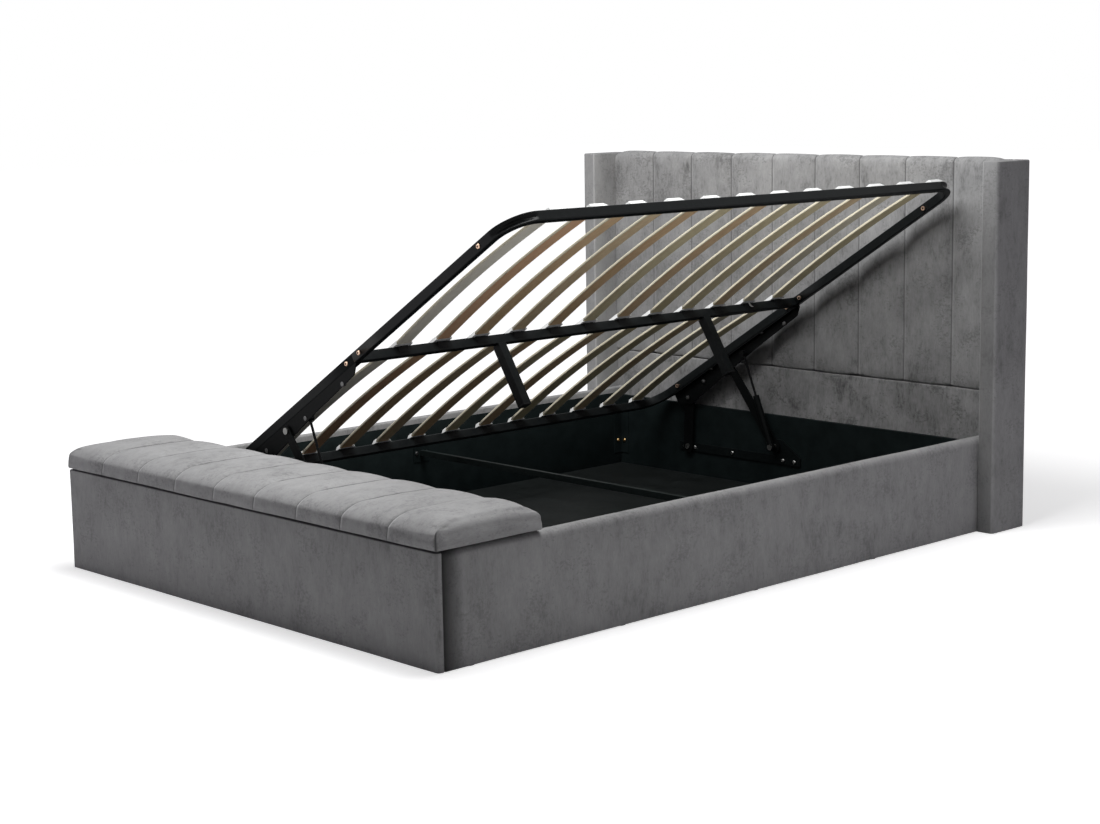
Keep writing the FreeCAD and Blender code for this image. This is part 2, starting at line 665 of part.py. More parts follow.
# Gas struts: a bored cylinder on the base stud and a rod that ends in an eye at the lift angle
strut_line = V(strut_tip[0] - front_base[0], 0, strut_tip[1] - front_base[1])
strut_span = strut_line.Length
strut_line.normalize()
strut_y = y_head_wall - strut_depth
strut_foot = V(front_base[0], strut_y, front_base[1])
strut_head = V(strut_tip[0], strut_y, strut_tip[1])
cylinder = Part.makeCylinder(strut_radius, strut_cylinder_length - strut_eye_radius,
                             strut_foot + strut_line * strut_eye_radius, strut_line)
cylinder = cylinder.fuse(pin(front_base[0], front_base[1], strut_near_face, strut_eye_thickness,
                             strut_eye_radius + bolt_radius))
cylinder = cylinder.cut(pin(front_base[0], front_base[1], 0, strut_far_face + overrun, stud_hole_radius))
bore = Part.makeCylinder(strut_rod_radius + strut_bore_clearance, strut_cylinder_length,
                         strut_foot + strut_line * strut_closed_end, strut_line)
parts["strut_cylinders"] = Part.makeCompound(both_ends(cylinder.cut(bore)))
rod_foot = strut_head - strut_line * strut_rod_length
rod = Part.makeCylinder(strut_rod_radius, strut_rod_length, rod_foot, strut_line)
rod = rod.fuse(pin(strut_tip[0], strut_tip[1], strut_near_face, strut_eye_thickness, strut_eye_radius))
rod = rod.fuse(pin(strut_tip[0], strut_tip[1], angle_face + side_clearance,
                   strut_near_face - angle_face - side_clearance, strut_neck_radius))
rod = rod.fuse(pin(strut_tip[0], strut_tip[1], strut_far_face, pivot_head_height, pivot_head_radius))
parts["strut_rods"] = Part.makeCompound(both_ends(rod))

# Frame bolts: joiner and corner bolts through the end tubes, rivets and nuts on the lift angles
through = []
through_holes = []
for x in (-joiner_bolt_spacing / 2, joiner_bolt_spacing / 2,
          -half_frame + corner_bolt_inset, half_frame - corner_bolt_inset):
    seat = V(x, y_frame_head, joiner_bolt_z)
    bolt = domed_bolt(seat, Y_AXIS, tube_width + nut_height)
    nut = Part.makeCylinder(nut_radius, nut_height, V(x, y_frame_head - tube_width, joiner_bolt_z), -Y_AXIS)
    through += both_ends(bolt.fuse(nut))
    through_holes += both_ends(bolt_hole(seat + Y_AXIS, Y_AXIS, tube_width + overrun))
through_tool = Part.makeCompound(through_holes)

# Perimeter tube: two bent halves that meet in the middle of each end
tube = frame_band(0, tube_width, -tube_height, 0)
tube = tube.cut(frame_band(tube_wall, tube_width - tube_wall, tube_wall - tube_height, -tube_wall))
tube = tube.cut(through_tool)
past = overrun + half_frame
for name, x0, x1 in (("near_frame_tube", 0, past), ("far_frame_tube", -past, 0)):
    half_space = block(x0, x1, y_frame_foot - past, y_frame_head + past, -past, past)
    parts[name] = lifted(tube.common(half_space))
sleeve_inset = tube_wall + joiner_clearance
sleeve = block(-joiner_length / 2, joiner_length / 2, y_frame_head - tube_width + sleeve_inset,
               y_frame_head - sleeve_inset, sleeve_inset - tube_height, -sleeve_inset).cut(through_tool)
parts["frame_joiners"] = lifted(Part.makeCompound(both_ends(sleeve)))

# Centre rail and drop legs
rail_foot, rail_head = y_frame_foot + tube_width, y_frame_head - tube_width
parts["centre_rail"] = lifted(square_tube(-tube_width / 2, tube_width / 2, rail_foot, rail_head,
                                          -tube_height, 0, tube_wall, "y"))
leg_top = -tube_height
leg_bottom = leg_top - leg_length
leg_half = leg_width / 2
leg_places = {"leg_foot": y_frame_foot + leg_foot_inset, "leg_head": y_frame_head - leg_head_inset}
caps = []
for name, y in leg_places.items():
    leg = square_tube(-leg_half, leg_half, y - leg_half, y + leg_half, leg_bottom, leg_top, tube_wall, "z")
    parts[name] = lifted(leg)
    caps.append(block(-leg_half, leg_half, y - leg_half, y + leg_half,
                      leg_bottom - leg_cap_height, leg_bottom))
parts["leg_caps"] = lifted(Part.makeCompound(caps))

# Lift angles: a leg with a deeper low end, and a flange under the end tube
leg_outline = [(angle_end_x, -tube_height), (angle_end_x, -tube_height - angle_thickness),
               (angle_end_x - angle_leg_end, -tube_height - angle_leg_end),
               (angle_leg_mid_x, -tube_height - angle_leg_mid),
               (rear_link_x, -tube_height - angle_leg_start), (angle_start_x, -tube_height - angle_leg_mid),
               (angle_start_x, -tube_height)]
lift_angle = side_plate(leg_outline, frame_wall_gap, angle_thickness)
flange = block(angle_start_x, angle_end_x, y_frame_head - tube_width, y_frame_head,
               -tube_height - angle_thickness, -tube_height)
lift_angle = lift_angle.fuse(flange).removeSplitter()
lift_angle = lift_angle.cut(pin(front_link_x, front_link_z, 0, angle_face + overrun, stud_hole_radius))
angle_bolt_z = -tube_height - angle_bolt_drop
rivet_places = [(angle_bolt_high_x, angle_bolt_z), (angle_bolt_low_x, angle_bolt_z),
                (strut_link_x, strut_link_z)]
rivets = []
for x, z in rivet_places:
    hole = pin(x, z, frame_wall_gap - overrun, angle_thickness + overrun * 2,
               bolt_radius + bolt_hole_clearance)
    lift_angle = lift_angle.cut(hole)
    rivet = pin(x, z, frame_wall_gap - rivet_height, rivet_height, bolt_head_radius)
    rivet = rivet.fuse(pin(x, z, frame_wall_gap, angle_thickness, bolt_radius))
    rivets += both_ends(rivet)
nut_places = [(angle_bolt_high_x, angle_bolt_z), (angle_bolt_low_x, angle_bolt_z),
              (rear_link_x, rear_link_z)]
for x, z in nut_places:
    rivets += both_ends(pin(x, z, angle_face, nut_height, nut_radius))
flange_bolt_y = y_frame_head - (tube_width + angle_thickness) / 2
flange_seat = -tube_height - angle_thickness
for x in (flange_bolt_high_x, flange_bolt_low_x):
    seat = V(x, flange_bolt_y, flange_seat)
    rivets += both_ends(domed_bolt(seat, -Z_AXIS, angle_thickness - bolt_hole_clearance))
    lift_angle = lift_angle.cut(bolt_hole(seat, -Z_AXIS, angle_thickness))
parts["lift_angle_head"] = lifted(lift_angle)
parts["lift_angle_foot"] = lifted(mirrored(lift_angle))
parts["frame_bolts"] = lifted(Part.makeCompound(through + rivets))

head_depth = arm_depth - side_clearance - pivot_head_height
pivot_bolt = pin(front_link_x, front_link_z, head_depth, angle_face + nut_height - head_depth, pivot_radius)
for start, length in ((head_depth, pivot_head_height), (angle_face, nut_height)):
    pivot_bolt = pivot_bolt.fuse(pin(front_link_x, front_link_z, start, length, pivot_head_radius))
parts["frame_pivot_bolts"] = lifted(Part.makeCompound(both_ends(pivot_bolt)))


def bowed_slat(x0, x1, y):
    """A sprung slat between two ends, highest in the middle of its span."""
    middle = (x0 + x1) / 2
    edge_y = y - slat_width / 2
    under = [V(x0, edge_y, slat_seat), V(middle, edge_y, slat_seat + slat_bow), V(x1, edge_y, slat_seat)]
    rise = V(0, 0, slat_thickness)
    edges = [Part.Arc(*under).toShape(), Part.Arc(*[p + rise for p in under]).toShape(),
             Part.makeLine(under[0], under[0] + rise), Part.makeLine(under[2], under[2] + rise)]
    return closed_prism(edges, V(0, slat_width, 0))


def slat_holder(x0, x1, y, pockets):
    """A tapered plastic holder on a tube, with a pocket for each slat end that it takes."""
    base, top = holder_width / 2, holder_width / 2 - holder_taper
    outline = [V(x0, y - base, 0), V(x0, y + base, 0),
               V(x0, y + top, holder_height), V(x0, y - top, holder_height)]
    holder = prism(outline, V(x1 - x0, 0, 0))
    half = slat_width / 2 + holder_clearance
    floor = slat_seat - holder_clearance
    for a, b in pockets:
        holder = holder.cut(block(a, b, y - half, y + half, floor, floor + holder_pocket_height))
    return holder


# Slats in two rows, with a holder at each end of each slat
tube_middle = half_frame - tube_width / 2
outer_back = tube_middle + holder_back
outer_front = outer_back - holder_back - holder_pocket
outer_end = outer_front + holder_pocket
inner_end = holder_back / 2
inner_front = inner_end + holder_pocket
near_holders, centre_holders, far_holders = [], [], []
for i in range(slat_count):
    y = y_frame_foot + slat_first_inset + i * slat_pitch
    outer_pocket = (outer_front - overrun, outer_end)
    near_holders.append(slat_holder(outer_front, outer_back, y, [outer_pocket]))
    far_holders.append(slat_holder(-outer_back, -outer_front, y, [(-outer_end, -outer_front + overrun)]))
    centre_holders.append(slat_holder(-inner_front, inner_front, y, [(inner_end, inner_front + overrun),
                                                                     (-inner_front - overrun, -inner_end)]))
    slat = bowed_slat(inner_end + slat_end_gap, outer_end - slat_end_gap, y)
    pair = [slat, slat.mirror(V(0, 0, 0), X_AXIS)]
    parts["slat_pair_%02d" % (i + 1)] = lifted(Part.makeCompound(pair))
parts["slat_holders_near"] = lifted(Part.makeCompound(near_holders))
parts["slat_holders_centre"] = lifted(Part.makeCompound(centre_holders))
parts["slat_holders_far"] = lifted(Part.makeCompound(far_holders))

# One file for each piece or group of pieces, moved to the centre of the footprint
os.makedirs("parts", exist_ok=True)
for name, shape in parts.items():
    placed = shape.copy()
    placed.translate(V(0, -overall_length / 2, 0))
    placed.exportStep("parts/" + name + ".step")
    print(name, len(placed.Solids), "solids", round(placed.Volume / 1000), "cm3", placed.isValid())
print(len(parts), "nodes; strut span", round(strut_span, 1), "slat pitch", round(slat_pitch, 1))
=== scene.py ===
# %% [markdown]
# # A storage bed with its slatted frame raised
# The bed is a low box wrapped in grey velvet. A padded bench closes its foot end, a headboard with
# two wings stands at its head, and the slatted frame inside lifts from one long side on gas struts.
# The rigid model comes in first as a fixed frame, so that every piece made here sits where the maker
# put it. All lengths are metres, +X is the side that opens, +Y is the head, +Z is up.

# %% Load the frame
import bpy
import bmesh
import json
import math
from mathutils import Matrix, Vector, noise


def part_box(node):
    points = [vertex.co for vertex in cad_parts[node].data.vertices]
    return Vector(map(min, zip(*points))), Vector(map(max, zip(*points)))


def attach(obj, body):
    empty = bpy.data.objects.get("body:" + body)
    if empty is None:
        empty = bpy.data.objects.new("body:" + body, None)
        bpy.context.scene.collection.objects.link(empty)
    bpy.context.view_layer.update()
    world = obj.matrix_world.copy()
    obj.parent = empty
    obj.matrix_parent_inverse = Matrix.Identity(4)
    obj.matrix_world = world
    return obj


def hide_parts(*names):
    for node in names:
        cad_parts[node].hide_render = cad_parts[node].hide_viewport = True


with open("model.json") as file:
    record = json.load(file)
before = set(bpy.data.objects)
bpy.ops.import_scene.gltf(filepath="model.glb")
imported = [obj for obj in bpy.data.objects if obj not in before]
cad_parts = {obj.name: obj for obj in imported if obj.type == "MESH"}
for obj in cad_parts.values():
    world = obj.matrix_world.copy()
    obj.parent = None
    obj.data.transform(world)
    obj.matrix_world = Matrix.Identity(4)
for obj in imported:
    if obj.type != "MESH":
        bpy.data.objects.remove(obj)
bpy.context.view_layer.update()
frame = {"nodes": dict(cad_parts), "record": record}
nodes = frame["nodes"]
scene = bpy.context.scene

# %% [markdown]
# ## The camera
# The photograph was taken from the foot corner on the opening side, a little above the bench, with a
# fairly long lens. The numbers below were found by fitting the box's corners to the picture. A camera
# looks along its own -Z, so its turn is written here as three axes: right, up and backwards.

# %% Camera
image_width, sensor = 1100, 36.0
focal_pixels = 2108.5
camera_turn = math.radians(46.641)
camera_drop = math.radians(8.884)
camera_roll = math.radians(-0.895)
camera_place = Vector((4.7291, -4.4812, 1.4425))
backwards = Vector((math.sin(camera_turn) * math.cos(camera_drop),
                    -math.cos(camera_turn) * math.cos(camera_drop), math.sin(camera_drop)))
level = Vector((math.cos(camera_turn), math.sin(camera_turn), 0))
upright = backwards.cross(level)
rightwards = level * math.cos(camera_roll) + upright * math.sin(camera_roll)
upwards = upright * math.cos(camera_roll) - level * math.sin(camera_roll)
camera_data = bpy.data.cameras.new("camera")
camera_data.sensor_width = sensor
camera_data.lens = focal_pixels / image_width * sensor
camera = bpy.data.objects.new("camera", camera_data)
scene.collection.objects.link(camera)
camera.matrix_world = (Matrix.Translation(camera_place)
                       @ Matrix((rightwards, upwards, backwards)).transposed().to_4x4())
scene.camera = camera
print("lens", round(camera_data.lens, 2), "mm")

# %% [markdown]
# ## Nodes
# Every finish is a small graph of nodes. These helpers add a node and set its inputs by name, draw a
# wire, mix two colours, and start a finish, which is kept under its name for the pieces to ask for.

# %% Node helpers
finishes = {}


def set_inputs(node, **values):
    """Sets some inputs of a node by name, with _ for a space."""
    for key, value in values.items():
        node.inputs[key.replace("_", " ")].default_value = value


def add_node(near, kind, operation=None, **values):
    """A new node in the graph that a node or socket is part of, with some of its inputs set."""
    node = near.id_data.nodes.new("ShaderNode" + kind)
    if operation:
        node.operation = operation
    set_inputs(node, **values)
    return node


def join(output, target):
    """A wire from one socket to another."""
    output.id_data.links.new(output, target)


def mix_colours(factor, first, second):
    """One colour or another by a factor. Each of them is a wire or a plain colour."""
    node = add_node(factor, "Mix")
    node.data_type = "RGBA"
    join(factor, node.inputs["Factor"])
    for key, colour in (("A", first), ("B", second)):
        if isinstance(colour, tuple):
            node.inputs[key].default_value = (*colour, 1)
        else:
            join(colour, node.inputs[key])
    return node.outputs["Result"]


def new_finish(name):
    """Starts a material with nodes, and gives its shader and the piece's own coordinates."""
    material = bpy.data.materials.new(name)
    material.use_nodes = True
    finishes[name] = material
    shader = material.node_tree.nodes["Principled BSDF"]
    return shader, add_node(shader, "TexCoord").outputs["Object"]


print("node helpers are ready")

# %% [markdown]
# ## Sky and floor
# The background is white only for rays that come straight from the camera or by way of a shiny surface,
# so it adds no light to the velvet. For all other rays the sky is dim. The floor is pale paper that
# carries the shadow. The same glow on it, stronger further off where the lamp hardly reaches, keeps it
# white up to the horizon.

# %% Sky
scene.view_settings.view_transform = "Standard"
white, fill_tint = (1, 1, 1), (1.0, 0.965, 1.045)
sky_strength = 0.09


def seen_directly(near):
    """1 for rays from the camera, and for those that reach it by a reflection or through glass."""
    path = add_node(near, "LightPath")
    total = path.outputs["Is Camera Ray"]
    for name in ("Is Glossy Ray", "Is Transmission Ray"):
        either = add_node(near, "Math", "MAXIMUM")
        join(total, either.inputs[0])
        join(path.outputs[name], either.inputs[1])
        total = either.outputs[0]
    return total


world = bpy.data.worlds.new("studio")
scene.world = world
world.use_nodes = True
sky = world.node_tree.nodes["Background"]
seen = seen_directly(sky)
join(mix_colours(seen, fill_tint, white), sky.inputs["Color"])
sky_mix = add_node(sky, "Mix", A=sky_strength, B=1.0)
join(seen, sky_mix.inputs["Factor"])
join(sky_mix.outputs["Result"], sky.inputs["Strength"])
print("sky of strength", sky_strength)

# %% Floor
glow_near, glow_far = 0.46, 1.0
glow_start, glow_end, floor_reach = -0.3, 4.6, 30.0


def object_of(name, bm):
    """A new object with a bmesh as its mesh."""
    mesh = bpy.data.meshes.new(name)
    bm.to_mesh(mesh)
    bm.free()
    made = bpy.data.objects.new(name, mesh)
    scene.collection.objects.link(made)
    return made


paper, paper_place = new_finish("paper_floor")
set_inputs(paper, Base_Color=(0.8, 0.8, 0.8, 1), Roughness=1.0, Specular_IOR_Level=0.0,
           Emission_Color=(*white, 1))
distance = add_node(paper, "VectorMath", "LENGTH")
join(paper_place, distance.inputs[0])
spread = add_node(paper, "MapRange", From_Min=glow_start, From_Max=glow_end,
                  To_Min=glow_near, To_Max=glow_far)
spread.interpolation_type = "SMOOTHSTEP"
join(distance.outputs["Value"], spread.inputs["Value"])
glow = add_node(paper, "Math", "MULTIPLY")
join(seen_directly(paper), glow.inputs[0])
join(spread.outputs["Result"], glow.inputs[1])
join(glow.outputs[0], paper.inputs["Emission Strength"])
bm = bmesh.new()
bmesh.ops.create_grid(bm, x_segments=1, y_segments=1, size=floor_reach)
floor = object_of("floor", bm)
floor.data.materials.append(finishes["paper_floor"])
print("floor", floor_reach * 2, "m wide")

# %% [markdown]
# ## Lamps
# The photograph was lit from a soft lamp over the middle of the bed: the bench's top, the headboard and
# the inner side of the far wing are bright, while the foot panel, the outer sides and the slats' lower
# faces get only what a white floor throws back. So one softbox hangs there, and two weak ones stand to
# the left and to the right.

# %% Lamps


def softbox(name, place, target, size, power, tint=white):
    """An area lamp of some width and depth that faces a point."""
    data = bpy.data.lights.new(name, "AREA")
    data.shape = "RECTANGLE"
    data.size, data.size_y = size
    data.energy = power
    data.color = tint
    lamp = bpy.data.objects.new(name, data)
    scene.collection.objects.link(lamp)
    place = Vector(place)
    facing = (place - Vector(target)).to_track_quat("Z", "Y")
    lamp.matrix_world = Matrix.Translation(place) @ facing.to_matrix().to_4x4()


softbox("key_lamp", (0.15, -0.45, 2.75), (0.0, 0.0, 0.3), (2.3, 1.15), 92)
softbox("left_fill", (-1.9, -3.2, 1.0), (-0.5, -1.2, 0.3), (1.6, 1.6), 7.5, fill_tint)
softbox("right_fill", (3.0, 1.3, 0.45), (0.6, 0.4, 0.7), (2.0, 2.0), 8.5, fill_tint)
print(len(bpy.data.lights), "lamps")

# %% [markdown]
# ## Velvet
# Velvet is a short standing pile. Where a hand or a roller has pushed the pile over, it looks a shade
# lighter or darker, so the cloth is never one colour: there are soft clouds a hand wide, blotches the
# size of a thumb, fine streaks along the nap, and clusters of small dark flecks where the pile lies
# flat. Each of these is a noise of its own size, mixed into one shade. Sheen lifts the edges that turn
# away, as pile does. The covers carry two point attributes that paint light into the colour: seam is
# painted shade along the seams, in the gaps and low on the pad and on the near wing's front, and flank
# is a painted highlight beside the seams and along the wings' rims.

# %% Patterns


def noise_of(place, scale, detail=3.0, roughness=0.55, stretch=(1, 1, 1), turn=(0, 0, 0)):
    """A noise pattern of so many lumps to the metre, drawn out along an axis where stretch is small."""
    mapping = add_node(place, "Mapping", Scale=stretch, Rotation=turn)
    join(place, mapping.inputs["Vector"])
    pattern = add_node(place, "TexNoise", Scale=scale, Detail=detail, Roughness=roughness)
    join(mapping.outputs["Vector"], pattern.inputs["Vector"])
    return pattern.outputs["Fac"]


def weighed(parts):
    """The sum of several patterns, each times its share."""
    total = None
    for output, share in parts:
        step = add_node(output, "Math", "MULTIPLY_ADD")
        step.inputs[1].default_value = share
        step.inputs[2].default_value = 0.0
        join(output, step.inputs[0])
        if total is not None:
            join(total, step.inputs[2])
        total = step.outputs[0]
    return total


def ramp(factor, stops):
    """Colours by the value of a pattern."""
    node = add_node(factor, "ValToRGB")
    band = node.color_ramp
    while len(band.elements) < len(stops):
        band.elements.new(0.5)
    for element, (position, colour) in zip(band.elements, stops):
        element.position = position
        element.color = (*colour, 1)
    join(factor, node.inputs["Fac"])
    return node.outputs["Color"]


def bump(shader, height, distance, strength):
    """Small relief on a surface."""
    node = add_node(shader, "Bump", Strength=strength, Distance=distance)
    join(height, node.inputs["Height"])
    join(node.outputs["Normal"], shader.inputs["Normal"])


print("pattern helpers are ready")

# %% Velvet finish


def grey(level):
    """A neutral grey of that brightness."""
    return (level, level, level)


def velvet_finish(name, tone, nap, crush=1.0):
    """Grey velvet of a given brightness, with its nap streaks drawn out along one axis."""

    def shaded(share):
        """A grey that lies further from the tone the more the pile is crushed."""
        return grey(tone * (1 + (share - 1) * crush))

    shader, place = new_finish(name)
    clouds = noise_of(place, 5.0, 3.0, 0.55)
    blotches = noise_of(place, 30.0, 5.0, 0.66, nap)
    grain = noise_of(place, 130.0, 3.0, 0.65, nap)
    streaks = noise_of(place, 420.0, 2.0, 0.6, tuple(s * s * s for s in nap))
    shade = weighed([(clouds, 0.3), (blotches, 0.36), (grain, 0.2), (streaks, 0.14)])
    pile = ramp(shade, [(0.36, shaded(0.64)), (0.46, shaded(0.93)),
                                  (0.54, shaded(1.04)), (0.66, shaded(1.2))])
    fleck_shape = noise_of(place, 95.0, 5.0, 0.72, (1.0, 1.0, 1.35))
    fleck_patch = noise_of(place, 11.0, 3.0, 0.6)
    fleck = weighed([(fleck_shape, 0.6), (fleck_patch, 0.4)])
    pressed = ramp(fleck, [(0.535, grey(0)), (0.6, grey(min(0.7, 0.32 * crush)))])
    colour = mix_colours(pressed, pile, grey(tone * 0.42))
    # Painted light: the flank mark mixes the colour towards a highlight at twice the tone, and the seam mark
    # towards painted shade at a fifth of it.
    for mark, share in (("flank", 2.0), ("seam", 0.2)):
        painted_mark = add_node(shader, "Attribute")
        painted_mark.attribute_name = mark
        colour = mix_colours(painted_mark.outputs["Fac"], colour, grey(tone * share))
    join(colour, shader.inputs["Base Color"])
    set_inputs(shader, Roughness=0.92, Specular_IOR_Level=0.12, Sheen_Weight=0.3, Sheen_Roughness=0.45,
               Sheen_Tint=(0.8, 0.8, 0.82, 1))
    bump(shader, weighed([(grain, 0.6), (streaks, 0.4)]), 0.0012, 0.35)


upright_nap, cross_nap = (1.0, 1.0, 0.45), (1.0, 0.5, 1.0)
velvet_tone = 0.305
velvet_finish("velvet", velvet_tone, upright_nap)
# Lit and shaded copies of one velvet: the bench's tone is raised as painted light, and the lower panel's and
# the near wing's are lowered as painted shade. Only nap and crush differ for real.
velvet_finish("velvet_bench_painted_light", velvet_tone * 1.12, cross_nap, 1.05)
velvet_finish("velvet_pad", velvet_tone, upright_nap, 1.6)
velvet_finish("velvet_panel_painted_shade", velvet_tone * 0.8, upright_nap, 2.2)
velvet_finish("velvet_wing_painted_shade", velvet_tone * 0.9, upright_nap, 1.1)
print("velvet of brightness", velvet_tone)

# %% [markdown]
# ## Boards, steel and plastic
# The inside of the box is black-faced board with a dull gleam. The frame is black satin paint on steel
# tube: paint is never quite even, so its roughness wanders a little. Bolts are plated, and the slat
# holders are moulded plastic. One recipe does for all of them, and a table gives each its colour,
# roughness, unevenness, gleam and lumps to the metre.

# %% Hard finishes


def painted_finish(name, colour, roughness, spread, gleam, lumps, relief=0.0002, metal=0.0):
    """A painted, moulded or plated surface whose tone and gloss wander a little."""
    shader, place = new_finish(name)
    set_inputs(shader, Specular_IOR_Level=gleam, Metallic=metal)
    wander = noise_of(place, lumps, 4.0, 0.6)
    dark = tuple(c * (1 - spread) for c in colour)
    light = tuple(c * (1 + spread) for c in colour)
    join(ramp(wander, [(0.3, dark), (0.7, light)]), shader.inputs["Base Color"])
    rougher = min(1.0, roughness * 1.2)
    gloss = add_node(shader, "MapRange", To_Min=roughness * 0.85, To_Max=rougher)
    join(wander, gloss.inputs["Value"])
    join(gloss.outputs["Result"], shader.inputs["Roughness"])
    bump(shader, noise_of(place, lumps * 14, 2.0), relief, 0.3)


for values in (
        ("dark_board", (0.0082, 0.012, 0.0122), 0.55, 0.25, 0.05, 18.0),
        ("liner_board", (0.0105, 0.0152, 0.0154), 0.55, 0.25, 0.05, 18.0),
        ("floor_board", (0.0092, 0.0108, 0.0106), 0.5, 0.25, 0.05, 18.0),
        ("black_steel", (0.0066, 0.0078, 0.0082), 0.32, 0.2, 0.07, 60.0),
        ("dull_steel", (0.0105, 0.0142, 0.0138), 0.5, 0.2, 0.06, 60.0),
        ("lift_steel", (0.0042, 0.0048, 0.005), 0.38, 0.2, 0.045, 60.0),
        ("base_steel", (0.006, 0.0078, 0.008), 0.45, 0.2, 0.045, 60.0),
        ("rod_steel", (0.0045, 0.005, 0.0055), 0.3, 0.15, 0.06, 60.0),
        ("black_plastic", (0.0085, 0.009, 0.0095), 0.5, 0.15, 0.08, 90.0),
        ("white_plastic", (0.7, 0.71, 0.7), 0.42, 0.05, 0.4, 40.0)):
    painted_finish(*values)
plating = {"spread": 0.12, "gleam": 0.5, "lumps": 300.0, "relief": 0.0001, "metal": 1.0}
for name, colour, roughness in (
        ("brass_bolt", (0.62, 0.42, 0.2), 0.32), ("copper_bolt", (0.66, 0.46, 0.34), 0.3),
        ("steel_bolt", (0.4, 0.4, 0.39), 0.34), ("dark_zinc", (0.1, 0.1, 0.1), 0.4),
        ("worn_zinc", (0.26, 0.26, 0.25), 0.34)):
    painted_finish(name, colour, roughness, **plating)
print(len(finishes), "finishes so far")

# %% [markdown]
# ## Slat wood
# The slats are glued veneer with a paler cut edge, in tones from nearly white to brown. The grain is
# noise drawn out along the slat, in the plane that the raised frame lies in. The upper faces, which
# carry the mattress, get copies of the wood in a clearly deeper tone: painted shade against the light
# that falls on them from above.

# %% Wood finishes
frame_tilt = math.radians(32)
grain_stretch, board_stretch, top_painted_shade = (0.9, 26.0, 26.0), (0.8, 6.0, 0.8), 0.58


def wood_finish(name, light, dark):
    """Veneer whose grain runs along the slat."""
    shader, place = new_finish(name)
    turn = (0, frame_tilt, 0)
    fibre_stretch = tuple(s * 1.4 for s in grain_stretch)
    grain = noise_of(place, 3.0, 5.0, 0.6, grain_stretch, turn)
    fibres = noise_of(place, 9.0, 4.0, 0.65, fibre_stretch, turn)
    boards = noise_of(place, 1.0, 2.0, 0.5, board_stretch)
    shade = weighed([(grain, 0.4), (fibres, 0.25), (boards, 0.35)])
    join(ramp(shade, [(0.36, dark), (0.62, light)]), shader.inputs["Base Color"])
    set_inputs(shader, Roughness=0.55)
    bump(shader, fibres, 0.0004, 0.25)


for tone, light, dark in (
        ("light", (0.81, 0.78, 0.68), (0.71, 0.67, 0.56)), ("pale", (0.79, 0.73, 0.56), (0.62, 0.56, 0.39)),
        ("olive", (0.78, 0.69, 0.44), (0.59, 0.5, 0.29)), ("beech", (0.79, 0.63, 0.4), (0.6, 0.44, 0.25)),
        ("tan", (0.79, 0.58, 0.35), (0.6, 0.39, 0.2)), ("brown", (0.76, 0.48, 0.29), (0.58, 0.33, 0.18))):
    wood_finish(tone + "_slat", light, dark)
    wood_finish(tone + "_slat_top_painted_shade", tuple(c * top_painted_shade for c in light), tuple(c * top_painted_shade for c in dark))
wood_finish("slat_edge", (0.8, 0.75, 0.58), (0.69, 0.63, 0.46))
print(len(finishes), "finishes in all")

# %% [markdown]
# ## Bodies, slots and small helpers
# Every node of the rigid model knows the body it moves with and the finish it was given. The record
# holds both, so a new piece can ask for them by the name of the node that it stands for. The helpers
# below make a box, pick its edges, round them off, and cut it into rows of points.

# %% Helpers for pieces
body_of_node = {}
for body, members in frame["record"]["behaviour"]["bodies"].items():
    for member in members:
        body_of_node[member] = body
slot_of_node = {entry["node"]: entry["material_slot"] for entry in frame["record"]["subparts"]}


def finished(name, bm, names, stands_for, body=None, slot=None):
    """Turns a bmesh into a piece that rides on its body and stands for its nodes."""
    piece = object_of(name, bm)
    for finish in names:
        piece.data.materials.append(finishes[finish])
    for polygon in piece.data.polygons:
        polygon.use_smooth = True
    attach(piece, body or body_of_node[stands_for[0]])
    if stands_for:
        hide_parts(*stands_for)
    return piece


def gathered(shapes):
    """Several bmeshes as one."""
    whole = bmesh.new()
    for shape in shapes:
        scrap = bpy.data.meshes.new("scrap")
        shape.to_mesh(scrap)
        shape.free()
        whole.from_mesh(scrap)
        bpy.data.meshes.remove(scrap)
    return whole


def box_shape(low, high):
    """A bmesh box between two corners."""
    bm = bmesh.new()
    low, high = Vector(low), Vector(high)
    bmesh.ops.create_cube(bm, size=1.0)
    bmesh.ops.scale(bm, vec=high - low, verts=bm.verts)
    bmesh.ops.translate(bm, vec=(low + high) / 2, verts=bm.verts)
    return bm


print(len(body_of_node), "nodes have a body,", len(slot_of_node), "have a finish")

# %% Edges, rows and marks
tiny = 0.001


def edges_where(bm, test):
    """The edges whose two ends both pass a test."""
    return [e for e in bm.edges if all(test(v.co) for v in e.verts)]


def runs_along(edge, axis, least=0.1):
    """Whether an edge covers some length along an axis."""
    return abs(edge.verts[0].co[axis] - edge.verts[1].co[axis]) > least


def sharp_edges(bm, angle):
    """The edges where two faces meet at more than some angle."""
    return [e for e in bm.edges if len(e.link_faces) == 2 and e.calc_face_angle() > angle]


def round_edges(bm, edges, radius, steps):
    """Rounds edges off to a radius."""
    bmesh.ops.bevel(bm, geom=edges, offset=radius, offset_type="OFFSET", affect="EDGES",
                    segments=steps, profile=0.5, material=-1, clamp_overlap=True)


def slice_at(bm, axis, places):
    """Cuts the whole mesh by planes square to an axis, so that it has rows of points there."""
    normal = Vector([1 if i == axis else 0 for i in range(3)])
    for place in places:
        geometry = bm.verts[:] + bm.edges[:] + bm.faces[:]
        bmesh.ops.bisect_plane(bm, geom=geometry, dist=1e-6, plane_co=normal * place, plane_no=normal)


def rows(start, stop, gap):
    """Evenly spaced places strictly between two ends."""
    count = max(2, round((stop - start) / gap))
    return [start + (stop - start) * i / count for i in range(1, count)]


def clipped(value):
    """A value kept between 0 and 1."""
    return min(1.0, max(0.0, value))


def fade(away, reach):
    """1 at a place, falling to 0 at some reach from it."""
    return max(0.0, 1 - away / reach)


